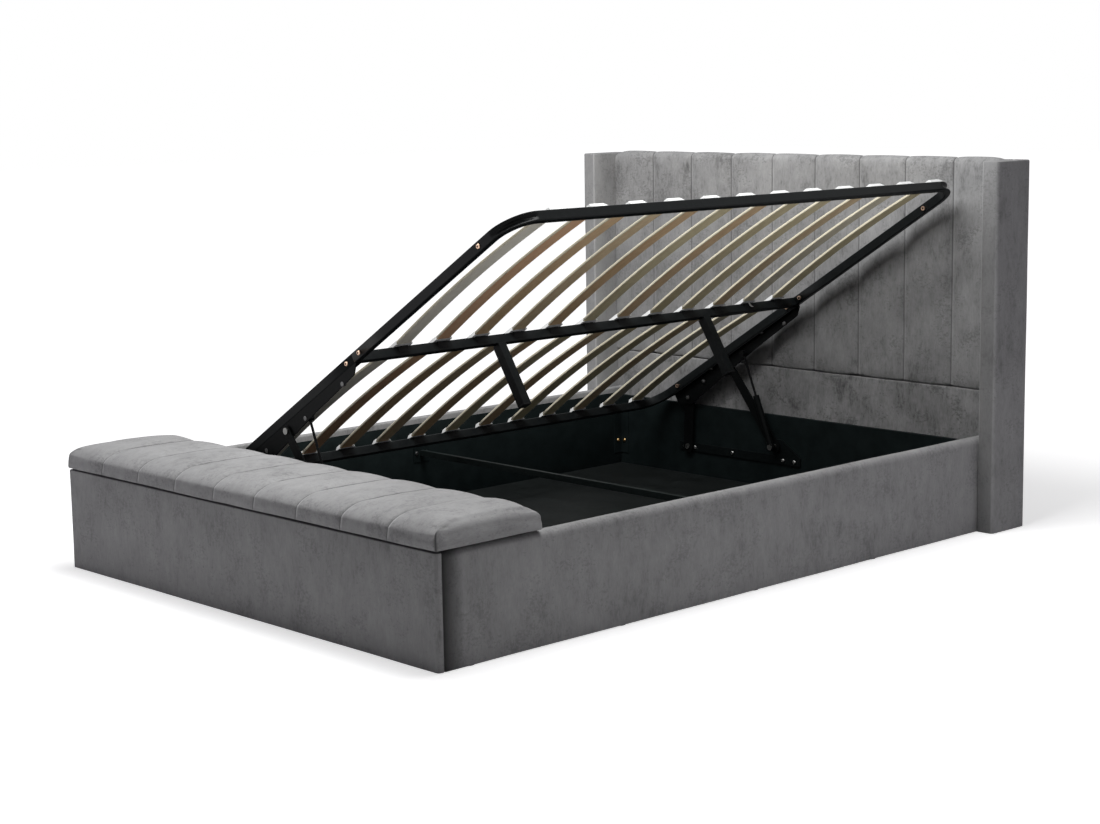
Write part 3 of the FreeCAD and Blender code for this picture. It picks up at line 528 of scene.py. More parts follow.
def mark_points(piece, name, shades):
    """Writes a value at each point for the velvet to read: the strength of its painted shade, and of its
    painted highlight.
    """
    marks = piece.data.attributes.new(name, "FLOAT", "POINT")
    for mark, shade in zip(marks.data, shades):
        mark.value = shade


print("edge and row helpers are ready")

# %% [markdown]
# ## Upholstered boards
# The foot panel, the side rails, the wings and the headboard are boards with a few millimetres of foam
# under the velvet. So their edges are round, and their faces aren't dead flat: the cover swells and
# sinks by half a millimetre or so. A box is rounded, sliced into rows of points, and each point is
# then moved a little along its normal by a slow noise. The cover hangs down past the board, almost to
# the floor, and hides the glides. On the rails the outer top edge is a big soft round.

# %% Upholstered boards
swell_size, swell_depth = 3.2, 0.0011
cover_inset, board_gap = 0.0006, 0.045
hem_height, hem_round, crisp_round, soft_round = 0.0012, 0.0015, 0.0045, 0.022


def swell(bm, depth=swell_depth, size=swell_size):
    """Gives a cover the slow unevenness of cloth over foam."""
    bm.normal_update()
    moves = [(v, v.normal * (depth * noise.noise(v.co * size))) for v in bm.verts]
    for vert, move in moves:
        vert.co += move


def upholstered_board(name, node, low, high, upright_round, top_round, cover="velvet",
                      sharp_side=None, shade=None, cuts=(), soft_side=None):
    """A padded board that stands for a node: rounded, sliced and slightly uneven, just inside its box."""
    shrink = Vector((cover_inset,) * 3)
    low, high = low + shrink, high - shrink
    low.z = hem_height
    bm = box_shape(low, high)
    if soft_side:
        round_edges(bm, edges_where(bm, lambda c: soft_side(c) and c.z > high.z - tiny), soft_round, 9)
    upright = [e for e in bm.edges if runs_along(e, 2)]
    crisp_edges = [e for e in upright if sharp_side and sharp_side(e.verts[0].co)]
    if upright_round:
        round_edges(bm, [e for e in upright if e not in crisp_edges], upright_round, 5)
    if crisp_edges:
        round_edges(bm, [e for e in edges_where(bm, sharp_side) if runs_along(e, 2)], crisp_round, 4)
    bm.normal_update()
    top_edges = [e for e in sharp_edges(bm, 1.0) if e.verts[0].co.z > low.z + tiny
                 and any(abs(f.normal.z) > 0.9 for f in e.link_faces)]
    if soft_side:
        top_edges = [e for e in top_edges if runs_along(e, 1)]
    round_edges(bm, top_edges, top_round, 4)
    hem_edges = [e for e in sharp_edges(bm, 1.0) if all(v.co.z < low.z + tiny for v in e.verts)]
    round_edges(bm, hem_edges, hem_round, 2)
    inset = max(upright_round, top_round, soft_round if soft_side else 0.0)
    for axis in range(3):
        if high[axis] - low[axis] > board_gap * 2:
            slice_at(bm, axis, rows(low[axis] + inset, high[axis] - inset, board_gap))
    slice_at(bm, 0, cuts)
    shades = [float(shade(v.co)) if shade else 0.0 for v in bm.verts]
    swell(bm)
    piece = finished(name, bm, [cover], [node])
    mark_points(piece, "seam", shades)
    return piece


print("boards are sliced every", board_gap, "m")

# %% Foot panel and headboard
lid_seat, panel_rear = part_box("foot_panel")[1].z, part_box("foot_panel")[1].y
lid_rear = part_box("lid_cushion")[1].y - 0.004
skin, joint_shade, panel_set_back = 0.0014, 0.0036, 0.005


def in_painted_gap_shade(c):
    """Whether a place gets painted shade: in the gap under the bench lid, and in the joint where panel and
    rail meet.
    """
    under_lid = c.z > lid_seat - skin and c.y < lid_rear
    return under_lid or abs(c.y - panel_rear) < joint_shade


upholstered_board("foot_panel_cover", "foot_panel", *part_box("foot_panel"), upright_round=0.0105,
                  top_round=0.0035, sharp_side=lambda c: c.y > panel_rear - skin, shade=in_painted_gap_shade)
# The lower panel takes the shaded copy of the velvet: painted shade.
low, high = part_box("headboard_lower_panel")
low.y += panel_set_back
upholstered_board("headboard_lower_cover", "headboard_lower_panel", low, high, upright_round=0.005,
                  top_round=0.004, cover="velvet_panel_painted_shade")
upholstered_board("headboard_back_cover", "headboard_core", *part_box("headboard_core"), upright_round=0.008,
                  top_round=0.006)
print("foot panel and headboard covered in velvet")

# %% [markdown]
# ## Wings and side rails
# Each wing gets a thin painted highlight where its front meets the side towards the bed. The near wing
# wears the shaded copy of the velvet, and its front gets more painted shade low down. The rails are
# lined with thin black board on the inside, with the velvet lapped over its upper edge.

# %% Wings, rails and liners
wing_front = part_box("wing_near")[0].y
wing_dark, wing_dark_top, wing_dark_fade, wing_skin = 0.4, 1.1, 0.15, 0.003
rim_width, rim_painted_highlight, side_skin = 0.0052, 0.3, 0.002
liner_depth, liner_lap, liner_skin, liner_round = 0.0035, 0.022, 0.0008, 0.0006


def near_wing_painted_shade(c):
    """How much painted shade the near wing's front gets, more of it low down."""
    on_front = c.y < wing_front + wing_skin
    return wing_dark * clipped((wing_dark_top - c.z) / wing_dark_fade) if on_front else 0.0


for side, inward in (("near", 1), ("far", -1)):
    near = side == "near"
    low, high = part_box("wing_" + side)
    bed_side, front = (low.x if near else high.x), low.y
    wing = upholstered_board("wing_%s_cover" % side, "wing_" + side, low, high, upright_round=0.014,
                             top_round=0.011, cover="velvet_wing_painted_shade" if near else "velvet",
                             sharp_side=lambda c: abs(c.x - bed_side) < side_skin,
                             shade=near_wing_painted_shade if near else None,
                             cuts=[bed_side + inward * rim_width * t for t in (1.05, 1.6)])
    # A painted highlight along each wing's rim.
    from_rim = [max(abs(v.co.x - bed_side), v.co.y - front) for v in wing.data.vertices]
    mark_points(wing, "flank", [rim_painted_highlight if away < rim_width else 0.0 for away in from_rim])
    low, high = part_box("side_rail_" + side)
    inner, outer = (low.x, high.x) if near else (high.x, low.x)
    liner_x = sorted((inner, inner + inward * liner_depth))
    liner = box_shape((liner_x[0], low.y + liner_lap, low.z + 0.001),
                      (liner_x[1], high.y - 0.002, high.z - liner_lap))
    round_edges(liner, liner.edges[:], liner_round, 2)
    finished("side_rail_%s_liner" % side, liner, ["liner_board"], [], "bed_base", "dark_board")
    if near:
        low.x += liner_skin
    else:
        high.x -= liner_skin
    upholstered_board("side_rail_%s_cover" % side, "side_rail_" + side, low, high, upright_round=0.0,
                      top_round=0.008, shade=in_painted_gap_shade, soft_side=lambda c: abs(c.x - outer) < side_skin)
print("wings and rails covered in velvet")

# %% [markdown]
# ## Sewn channels
# The headboard pad and the bench cushion are sewn into nine channels. A channel is a shallow arch with
# a narrow pinch where the thread pulls it down, and the cloth puckers a little beside the thread. Rows
# of points are cut close together at each seam, the points sink by that profile along their normals,
# and then the cover is blown up as a cloth that is held along its seams and its back, so the channels
# fill as foam does.

# %% Channel helpers
channel_count = 9
near_seam = (0.0013, 0.0034, 0.0065, 0.0115, 0.019, 0.031, 0.049, 0.071)
pinch_width, pucker_width, flank_away, flank_half = 0.0042, 0.014, 0.0045, 0.0036
pucker_scale = Vector((9, 46, 46))


def seam_places(half):
    """Where the seams between the channels lie across a pad of that half width."""
    pitch = half * 2 / channel_count
    return [pitch * i - half for i in range(1, channel_count)]


def channel_rows(half):
    """Rows of points across all the channels, close together at each seam."""
    seams = seam_places(half)
    pitch = half * 2 / channel_count
    places = list(seams)
    for centre in seams + [-half, half]:
        for step in near_seam:
            places += [centre - step, centre + step]
    places += [pitch * (i + 0.5) - half for i in range(channel_count)]
    return sorted(p for p in set(places) if abs(p) < half - tiny)


def from_seam(x, half):
    """How far a place across the pad is from the nearest seam."""
    return min(abs(x - s) for s in seam_places(half))


def beside_seam(x, half):
    """How near a place is to the painted highlight beside each seam, on its +X side."""
    return fade(min(abs(x - s - flank_away) for s in seam_places(half)), flank_half)


def sink_seams(bm, half, arch, pinch, pucker, held):
    """Lets the points sink towards the seams, where held says how much of the depth a point gets."""
    bm.normal_update()
    moves = []
    for v in bm.verts:
        away = from_seam(v.co.x, half)
        depth = arch * fade(away, half / channel_count) ** 2 + pinch * math.exp(-(away / pinch_width) ** 2)
        depth += pucker * noise.noise(v.co * pucker_scale) * math.exp(-away / pucker_width)
        moves.append((v, v.normal * (-depth * held(v))))
    for vert, move in moves:
        vert.co += move


print("seams for", channel_count, "channels")

# %% Filling
fill_pressure, fill_frames = 4.0, 20


def blow_up(piece, held, cap):
    """Fills a cover as cloth held at some points, lets no point move further than cap, and keeps that."""
    group = piece.vertex_groups.new(name="held")
    for index in held:
        group.add([index], 1.0, "REPLACE")
    start = [v.co.copy() for v in piece.data.vertices]
    cloth = piece.modifiers.new("fill", "CLOTH")
    settings = {"quality": 5, "mass": 0.3, "tension_stiffness": 15, "compression_stiffness": 15,
                "shear_stiffness": 5, "bending_stiffness": 0.6, "use_pressure": True,
                "uniform_pressure_force": fill_pressure, "vertex_group_mass": "held"}
    for key, value in settings.items():
        setattr(cloth.settings, key, value)
    cloth.settings.effector_weights.gravity = 0
    cloth.collision_settings.use_self_collision = False
    cloth.collision_settings.use_collision = False
    for step in range(1, fill_frames + 1):
        scene.frame_set(step)
    filled = piece.evaluated_get(bpy.context.evaluated_depsgraph_get()).data
    ends = [v.co.copy() for v in filled.vertices]
    piece.modifiers.remove(cloth)
    piece.vertex_groups.remove(group)
    scene.frame_set(1)
    furthest = 0.0
    for vert, was, now in zip(piece.data.vertices, start, ends):
        move = now - was
        furthest = max(furthest, move.length)
        if move.length > cap:
            move *= cap / move.length
        vert.co = was + move
    print(piece.name, "filled by up to", round(furthest * 1000, 1), "mm")


def smooth_cover(piece):
    """One round of subdivision for a smooth cover."""
    smooth = piece.modifiers.new("smooth", "SUBSURF")
    smooth.levels = 1
    smooth.render_levels = 1


print("pads fill in", fill_frames, "steps")

# %% [markdown]
# ## Headboard pad
# The pad hangs on the headboard's front between the wings. Its seams run from the top edge, where each
# channel makes a low hump, down to the cross seam over the plain lower panel. Its two upper corners
# drop a little. Low down it gets a little painted shade.

# %% Headboard pad shape
pad_low, pad_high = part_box("headboard_pad")
pad_half = pad_high.x
pad_fill, pad_shoulder, pad_drop, pad_drop_depth = 0.003, 0.05, 0.012, 0.06
pad_top_round, pad_low_round, pad_row_gap = 0.022, 0.009, 0.014
pad_back, pad_edge = 0.02, 0.01
pad_rows_top = pad_high.z - 0.026


def pad_hold(v):
    """The back of the pad stays flat, the front and top sink fully."""
    return clipped((pad_high.y - v.co.y) / pad_back)


bm = box_shape(pad_low + Vector((0, pad_fill, 0)), pad_high - Vector((0, 0, pad_fill)))
top_edges = edges_where(bm, lambda c: c.z > pad_high.z - pad_edge and c.y < pad_high.y - pad_edge)
round_edges(bm, top_edges, pad_top_round, 6)
low_edges = edges_where(bm, lambda c: c.z < pad_low.z + tiny and c.y < pad_high.y - pad_edge)
round_edges(bm, low_edges, pad_low_round, 4)
slice_at(bm, 0, channel_rows(pad_half))
slice_at(bm, 2, rows(pad_low.z + pad_low_round, pad_rows_top, pad_row_gap))
for v in bm.verts:
    past = max(0.0, (abs(v.co.x) - pad_half + pad_shoulder) / pad_shoulder)
    v.co.z -= pad_drop * past ** 2 * max(0.0, (v.co.z - pad_high.z + pad_drop_depth) / pad_drop_depth)
sink_seams(bm, pad_half, arch=0.0032, pinch=0.0042, pucker=0.0007, held=pad_hold)
swell(bm, depth=0.0016, size=5.0)
pad_born = [v.co.copy() for v in bm.verts]
print("pad box of", len(bm.faces), "faces")

# %% Headboard pad
pad_cap, seam_shade_half, seam_painted_shade, pad_painted_highlight = 0.0035, 0.003, 0.85, 0.25
low_painted_shade, low_shade_top, low_shade_fade = 0.2, 1.08, 0.3


def pad_held(c):
    """Whether a point of the pad is sewn or glued down: at a seam, at the back, or at an edge."""
    return (from_seam(c.x, pad_half) < tiny or c.y > pad_high.y - 0.012 or c.z < pad_low.z + 0.004
            or abs(c.x) > pad_half - 0.002)


def pad_shade(c):
    """Painted shade along the seams, and a little of it low down."""
    low_shade = low_painted_shade * clipped((low_shade_top - c.z) / low_shade_fade)
    return max(low_shade, fade(from_seam(c.x, pad_half), seam_shade_half) * seam_painted_shade)


pad = finished("headboard_pad_cover", bm, ["velvet_pad"], ["headboard_pad"])
blow_up(pad, [i for i, c in enumerate(pad_born) if pad_held(c)], pad_cap)
mark_points(pad, "seam", [pad_shade(c) for c in pad_born])
mark_points(pad, "flank", [beside_seam(c.x, pad_half) * pad_painted_highlight for c in pad_born])
smooth_cover(pad)
print("pad", len(pad.data.polygons), "faces")

# %% [markdown]
# ## Bench cushion
# The lid of the bench carries one long cushion. Its front and back curl over in a big round, its ends
# are boxed with a short sewn corner, and its top is crowned. It starts as a sliced box. Each point near
# an edge is then drawn onto a round: how far it lies past an inner box is made a share of the round's
# size, and those shares are shortened as on a ball. High up that gives a full round. Low down a higher
# power is used, so that the upright corners are nearly square, as the boxed and sewn corners are.

# %% Bench cushion rows
cushion_low, cushion_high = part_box("lid_cushion")
cushion_half = cushion_high.x
cushion_fill, cushion_crown = 0.0035, 0.0065
cushion_top = cushion_high.z - cushion_fill - cushion_crown
end_round, front_round, rear_round, top_round, low_round = 0.026, 0.072, 0.05, 0.026, 0.005
round_steps = (0.02, 0.06, 0.13, 0.24, 0.4, 0.6, 0.8, 1.0)
cushion_row_gap, cushion_side_gap = 0.017, 0.009
bm = box_shape(cushion_low, (cushion_high.x, cushion_high.y, cushion_top))
slice_at(bm, 0, channel_rows(cushion_half) + [s * (cushion_half - end_round * t)
                                              for s in (-1, 1) for t in round_steps])
slice_at(bm, 1, [cushion_low.y + front_round * t for t in round_steps])
slice_at(bm, 1, rows(cushion_low.y + front_round, cushion_high.y - rear_round, cushion_row_gap))
slice_at(bm, 1, [cushion_high.y - rear_round * t for t in round_steps])
slice_at(bm, 2, [cushion_low.z + low_round * t for t in (0.4, 1.0)])
slice_at(bm, 2, rows(cushion_low.z + low_round, cushion_top - top_round, cushion_side_gap))
slice_at(bm, 2, [cushion_top - top_round * t for t in (0.15, 0.35, 0.6, 0.8, 1.0)])
cushion_born = [v.co.copy() for v in bm.verts]
print("cushion box of", len(bm.faces), "faces")

# %% Bench cushion shape
middle_y = (cushion_low.y + cushion_high.y) / 2
half_depth = (cushion_high.y - cushion_low.y) / 2
hem_start, hem_drop, hem_fade = cushion_high.y - 0.07, 0.0012, 0.08
front_drop, end_drop, end_reach = 0.012, 0.013, 0.12
corner_full, corner_square, edge_full, edge_square = 2.5, 22, 2.2, 16
inner_low = Vector((end_round - cushion_half, cushion_low.y + front_round, cushion_low.z + low_round))
inner_high = Vector((cushion_half - end_round, cushion_high.y - rear_round, cushion_top - top_round))


def pillowed(c):
    """Draws a point of the sliced box onto its round, crowns the top and lets the edges sag."""
    reach = Vector((end_round, front_round if c.y < middle_y else rear_round,
                    top_round if c.z > cushion_top - top_round else low_round))
    base = Vector([min(max(c[i], inner_low[i]), inner_high[i]) for i in range(3)])
    share = Vector([(c[i] - base[i]) / reach[i] for i in range(3)])
    furthest = max(abs(s) for s in share)
    if furthest > 0:
        corner = corner_full + corner_square * (1 - max(0.0, share.z) ** 2)
        edge = edge_full if share.z > 0 else edge_square
        side = (abs(share.x) ** corner + abs(share.y) ** corner) ** (1 / corner)
        share *= furthest / (side ** edge + abs(share.z) ** edge) ** (1 / edge)
    place = base + Vector([share[i] * reach[i] for i in range(3)])
    lift = (place.z - cushion_low.z) / (cushion_top - cushion_low.z)
    place.z += cushion_crown * lift * (1 - ((place.y - middle_y) / half_depth) ** 2)
    to_front = fade(place.y - cushion_low.y, front_round) ** 1.5
    to_end = fade(cushion_half - abs(place.x), end_reach)
    place.z -= front_drop * lift * to_front * (1 - to_end ** 2)
    place.z -= end_drop * lift * to_end ** 1.5 * (1 - 0.6 * to_front)
    place.z -= hem_drop * (1 - lift) * clipped((hem_start - place.y) / hem_fade)
    return place


def cushion_hold(v):
    """The underside stays flat, the sides sink less towards the lower edge."""
    return min(1.0, max(0.0, v.co.z - cushion_low.z - 0.004) / 0.03)


for v, c in zip(bm.verts, cushion_born):
    v.co = pillowed(c)
sink_seams(bm, cushion_half, arch=0.0035, pinch=0.0035, pucker=0.0012, held=cushion_hold)
swell(bm, depth=0.0014, size=6.0)
print("cushion drawn round over", round(half_depth * 2, 3), "m")

# %% [markdown]
# ## Filling the cushion
# The cushion is filled by pressure with its seams and underside held. Its seams get painted shade,
# more on top than at the front, and a painted highlight beside them where they curl over the front edge.
# A short stripe of painted shade stands at each front corner, and the underside is black like dust
# cloth, which also paints the shade in the gap under the lid.

# %% Filled cushion
cushion_cap, corner_seam_height, corner_seam_half, corner_dark = 0.0045, 0.06, 0.007, 0.9
cushion_painted_highlight, flank_least, flank_fade = 0.75, 0.15, 0.03
front_dark, top_fade, corner_fade = 0.6, 0.04, 0.006


def cushion_painted_shade(c):
    """Painted shade along the channel seams and up the two front corners; a black underside like dust cloth,
    which paints the shade in the gap under the lid.
    """
    if c.z < cushion_low.z + tiny:
        return 1.0
    on_top = clipped((c.y - cushion_low.y - front_round) / top_fade)
    along = fade(from_seam(c.x, cushion_half), seam_shade_half + seam_shade_half * on_top)
    along *= front_dark + (1 - front_dark) * on_top
    corner = max(cushion_half - abs(c.x), c.y - cushion_low.y)
    low_down = clipped((cushion_low.z + corner_seam_height - c.z) / corner_fade)
    return max(along, fade(corner, corner_seam_half) * corner_dark * low_down)


def painted_flank_highlight(c):
    """Painted highlight beside the seams where they curl over the front edge."""
    if c.z < cushion_low.z + low_round:
        return 0.0
    forward = min(1.0, max(flank_least, (cushion_low.y + front_round - c.y) / flank_fade))
    return beside_seam(c.x, cushion_half) * forward * cushion_painted_highlight


# The cushion takes the lit copy of the velvet: painted light.
cushion = finished("bench_cushion", bm, ["velvet_bench_painted_light"], ["lid_cushion"])
blow_up(cushion, [i for i, c in enumerate(cushion_born) if from_seam(c.x, cushion_half) < tiny
                  or c.z < cushion_low.z + low_round * 1.1], cushion_cap)
mark_points(cushion, "seam", [cushion_painted_shade(c) for c in cushion_born])
mark_points(cushion, "flank", [painted_flank_highlight(c) for c in cushion_born])
smooth_cover(cushion)
print("cushion of", len(cushion_born), "points")

# %% [markdown]
# ## Hinge slots
# On the real bench the lid turns on pins that stand in two thin plates at the back, so the cushion has
# a slot at each plate. A boolean cuts them after one round of subdivision, and the result is kept as a
# plain mesh.

# %% Hinge slots
slot_away, slot_half, slot_round = 0.8205, 0.003, 0.008
slot_start, slot_rise, slot_past = 0.0265, 0.0475, 0.02


def slot_shape(slot_x):
    """The room that one hinge plate needs."""
    bm = box_shape((slot_x - slot_half, cushion_high.y - slot_start, cushion_low.z - slot_past),
                   (slot_x + slot_half, cushion_high.y + slot_past, cushion_low.z + slot_rise))
    roof = edges_where(bm, lambda c: c.z > cushion_low.z and c.y < cushion_high.y)
    round_edges(bm, roof, slot_round, 4)
    return bm


cutter = object_of("slot_cutter", gathered([slot_shape(side * slot_away) for side in (-1, 1)]))
slots = cushion.modifiers.new("slots", "BOOLEAN")
slots.operation = "DIFFERENCE"
slots.solver = "EXACT"
slots.object = cutter
cut = bpy.data.meshes.new_from_object(cushion.evaluated_get(bpy.context.evaluated_depsgraph_get()))
cushion.modifiers.clear()
spent = [cushion.data, cutter.data]
cushion.data = cut
bpy.data.objects.remove(cutter)
for mesh in spent:
    bpy.data.meshes.remove(mesh)
print("cushion", len(cushion.data.polygons), "faces, seam kept:", "seam" in cushion.data.attributes)

# %% [markdown]
# ## Perimeter tubes
# The slatted frame hangs in two bent halves of flat-sided tube. Bent cold round a small die, such a tube
# caves in along its outer face, so each bend shows a groove with a lip above and below. A ring of edges
# with rounded corners is pulled straight and spun round each bend, and the ring has enough points on its
# outer side for the groove to sink. Everything on the frame is made flat, with the tubes' tops at zero
# height, and then lifted into place by one matrix.

# %% Frame helpers
frame_place = Matrix.Translation((0.0466, 0, 0.6941)) @ Matrix.Rotation(-frame_tilt, 4, "Y")
frame_foot, frame_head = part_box("near_frame_tube")[0].y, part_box("near_frame_tube")[1].y


def crisp(piece):
    """Keeps flat faces flat in the light next to rounded edges."""
    weighted = piece.modifiers.new("flat_faces", "WEIGHTED_NORMAL")
    weighted.keep_sharp = True
    return piece


def frame_piece(name, bm, names, stands_for, *where):
    """Lifts a shape from the flat frame into place, and makes a crisp piece of it."""
    bmesh.ops.transform(bm, matrix=frame_place, verts=bm.verts)
    return crisp(finished(name, bm, names, stands_for, *where))


def pull(bm, ring, reach, parts):
    """Draws a ring of edges out along a straight run, and gives the ring at its end."""
    for _ in range(parts):
        made = bmesh.ops.extrude_edge_only(bm, edges=ring)["geom"]
        fresh = {g for g in made if isinstance(g, bmesh.types.BMVert)}
        ring = [g for g in made if isinstance(g, bmesh.types.BMEdge) and set(g.verts) <= fresh]
        bmesh.ops.translate(bm, vec=Vector(reach) / parts, verts=list(fresh))
    return ring


def turn_bend(bm, ring, centre):
    """Spins a ring of edges round a square bend, and gives the ring at its end."""
    geometry = list({v for e in ring for v in e.verts}) + ring
    made = bmesh.ops.spin(bm, geom=geometry, cent=centre, axis=(0, 0, 1), angle=math.pi / 2, steps=14)
    return [g for g in made["geom_last"] if isinstance(g, bmesh.types.BMEdge)]


print("frame from", round(frame_foot, 3), "to", round(frame_head, 3))

# %% Frame tubes
frame_half, rail_half, rail_round = 0.795, 0.01, 0.0024
tube_width, tube_height, tube_round, bend_radius = 0.02, 0.03, 0.0028, 0.1
groove_depth, groove_half = 0.011, 0.0075
groove_rows = (-1.4, -1, -0.65, -0.3, 0, 0.3, 0.65, 1, 1.4)


def tube_half():
    """The half of the perimeter tube on the opening side, from joint to joint."""
    bm = bmesh.new()
    corners = [bm.verts.new((0, frame_foot + a, b)) for a, b in
               ((0, -tube_height), (tube_width, -tube_height), (tube_width, 0), (0, 0))]
    bm.faces.new(corners)
    bmesh.ops.bevel(bm, geom=corners, offset=tube_round, offset_type="OFFSET", affect="VERTICES",
                    segments=3, profile=0.5, material=-1, clamp_overlap=True)
    slice_at(bm, 2, [-tube_height / 2 + groove_half * t for t in groove_rows])
    bmesh.ops.dissolve_faces(bm, faces=bm.faces[:])
    bmesh.ops.delete(bm, geom=bm.faces[:], context="FACES_ONLY")
    straight = frame_half - bend_radius
    foot_centre = Vector((straight, frame_foot + bend_radius, 0))
    head_centre = Vector((straight, frame_head - bend_radius, 0))
    ring = pull(bm, bm.edges[:], (straight, 0, 0), 4)
    ring = turn_bend(bm, ring, foot_centre)
    ring = pull(bm, ring, (0, head_centre.y - foot_centre.y, 0), 10)
    ring = turn_bend(bm, ring, head_centre)
    pull(bm, ring, (-straight, 0, 0), 4)
    for v in bm.verts:
        for centre, way in ((foot_centre, -1), (head_centre, 1)):
            out = v.co - centre
            out.z = 0
            if out.x <= 0 or out.y * way <= 0:
                continue
            outer = max(0.0, (out.length - bend_radius + tube_width) / tube_width)
            sweep = math.sin(2 * math.atan2(out.y * way, out.x)) ** 0.5
            dent = math.exp(-((v.co.z + tube_height / 2) / groove_half) ** 2)
            v.co -= out.normalized() * (groove_depth * sweep * dent * outer ** 3)
    bmesh.ops.holes_fill(bm, edges=bm.edges[:], sides=0)
    return bm


for side in ("near", "far"):
    bm = tube_half()
    if side == "far":
        bmesh.ops.scale(bm, vec=(-1, 1, 1), verts=bm.verts)
    bmesh.ops.recalc_face_normals(bm, faces=bm.faces)
    frame_piece(side + "_tube", bm, ["black_steel"], [side + "_frame_tube"])
bm = box_shape((-rail_half, frame_foot + tube_width, -tube_height), (rail_half, frame_head - tube_width, 0))
round_edges(bm, [e for e in bm.edges if runs_along(e, 1)], rail_round, 3)
frame_piece("middle_rail", bm, ["black_steel"], ["centre_rail"])
print("two tubes and a rail,", tube_height, "m high")

# %% [markdown]
# ## Bolts through the end tubes
# Each end tube is bolted through in four places. The heads have a hexagon socket and the nuts show the
# end of the bolt, so both look like rings. The rings are there already, as parts of the rigid model, and
# only the dark middles are added: six-sided and round plugs that stand a hair proud. The six-sided
# plugs paint the shade inside the sockets.

# %% Bolt middles
bolt_places = (-0.643, -0.034, 0.034, 0.643)
head_rise, nut_rise, plug_proud = 0.004, 0.006, 0.0003
painted_socket_shade, bolt_end = (6, 0.0033), (16, 0.0036)
plug_faces = ((frame_foot - head_rise, -1, *painted_socket_shade), (frame_foot + tube_width + nut_rise, 1, *bolt_end),
              (frame_head + head_rise, 1, *painted_socket_shade), (frame_head - tube_width - nut_rise, -1, *bolt_end))
lying = Matrix.Rotation(math.pi / 2, 3, "X")
bm = bmesh.new()
for bolt_x in bolt_places:
    for face_y, outward, sides, radius in plug_faces:
        plug = bmesh.ops.create_cone(bm, cap_ends=True, segments=sides, radius1=radius, radius2=radius,
                                     depth=plug_proud * 4)["verts"]
        bmesh.ops.rotate(bm, cent=(0, 0, 0), matrix=lying, verts=plug)
        place = (bolt_x, face_y - outward * plug_proud, -tube_height / 2)
        bmesh.ops.translate(bm, vec=place, verts=plug)
bmesh.ops.recalc_face_normals(bm, faces=bm.faces)
frame_piece("bolt_middles", bm, ["black_plastic"], [], "slat_frame", "black_steel")
print(len(bolt_places) * len(plug_faces), "bolt middles")

# %% [markdown]
# ## Slats
# A slat is a strip of glued beech veneer, bowed upwards, with its long edges eased. Each slat is a box
# with rounded edges, sliced across and lifted into a bow. The faces that look along the bed get the
# paler finish of the cut edge, and those that look up get the deeper copy with painted shade. Two
# slats, one for each half, make a pair.

# %% Slats
slat_width, slat_thickness, slat_seat, slat_bow = 0.053, 0.008, 0.002, 0.016
slat_start, slat_end, slat_round, slat_gap = 0.005, 0.784, 0.0022, 0.045
slat_order = ("light", "brown", "tan", "beech", "tan", "olive",
              "tan", "olive", "olive", "beech", "pale", "olive")


def slat_shape(place_y, side):
    """One bowed slat on one half of the flat frame."""
    start, stop = sorted((slat_start * side, slat_end * side))
    bm = box_shape((start, place_y - slat_width / 2, slat_seat),
                   (stop, place_y + slat_width / 2, slat_seat + slat_thickness))
    round_edges(bm, [e for e in bm.edges if runs_along(e, 0)], slat_round, 3)
    slice_at(bm, 0, rows(start, stop, slat_gap))
    middle, half = (start + stop) / 2, (stop - start) / 2
    for v in bm.verts:
        v.co.z += slat_bow * (1 - ((v.co.x - middle) / half) ** 2)
    bm.normal_update()
    # Upward faces take the deeper copy of the wood: painted shade.
    for face in bm.faces:
        face.material_index = 1 if abs(face.normal.y) > 0.6 else 2 if face.normal.z > 0 else 0
    return bm


slat_places = []
for number, tone in enumerate(slat_order, 1):
    node = "slat_pair_%02d" % number
    slat_places.append((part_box(node)[0].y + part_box(node)[1].y) / 2)
    pair = gathered([slat_shape(slat_places[-1], side) for side in (1, -1)])
    frame_piece("slats_%02d" % number, pair, [tone + "_slat", "slat_edge", tone + "_slat_top_painted_shade"], [node])
print(len(slat_places) * 2, "slats from", round(slat_places[0], 3), "to", round(slat_places[-1], 3))

# %% [markdown]
# ## Slat holders
# Moulded caps hold the slats' ends. On the tubes each is a small white trapezoid with a mouth for one
# slat. On the middle rail it has a mouth on each side. A black tongue clips each one to the face of the
# rail below it. A box is tapered by pulling its top in, its edges are rounded, and its mouths are inset.

# %% Slat holders
holder_half, holder_taper, holder_height, holder_slope, holder_round = 0.0325, 0.006, 0.013, 0.009, 0.0011
mouth_wall, mouth_slope, mouth_depth, least_edge = 0.0026, 0.0006, 0.004, 0.012
tongue_half, tongue_low, tongue_top, tongue_thick, tongue_round = 0.02, -0.021, 0.0004, 0.0014, 0.0005


def holder_shape(place_y, start, stop, mouths):
    """One cap across part of the flat frame's width, with a mouth on the given sides."""
    bm = box_shape((start, place_y - holder_half, 0), (stop, place_y + holder_half, holder_height))
    for v in bm.verts:
        if v.co.z > holder_height / 2:
            v.co.y += holder_taper if v.co.y < place_y else -holder_taper
            if len(mouths) == 1 and (v.co.x - (start + stop) / 2) * mouths[0] < 0:
                v.co.x += mouths[0] * holder_slope
    bm.normal_update()
    for face in [f for f in bm.faces if any(f.normal.x * m > 0.9 for m in mouths)]:
        bmesh.ops.inset_region(bm, faces=[face], thickness=mouth_wall, depth=0)
        bmesh.ops.inset_region(bm, faces=[face], thickness=mouth_slope, depth=-mouth_depth)
    round_edges(bm, [e for e in sharp_edges(bm, 0.6) if e.calc_length() > least_edge], holder_round, 2)
    return bm


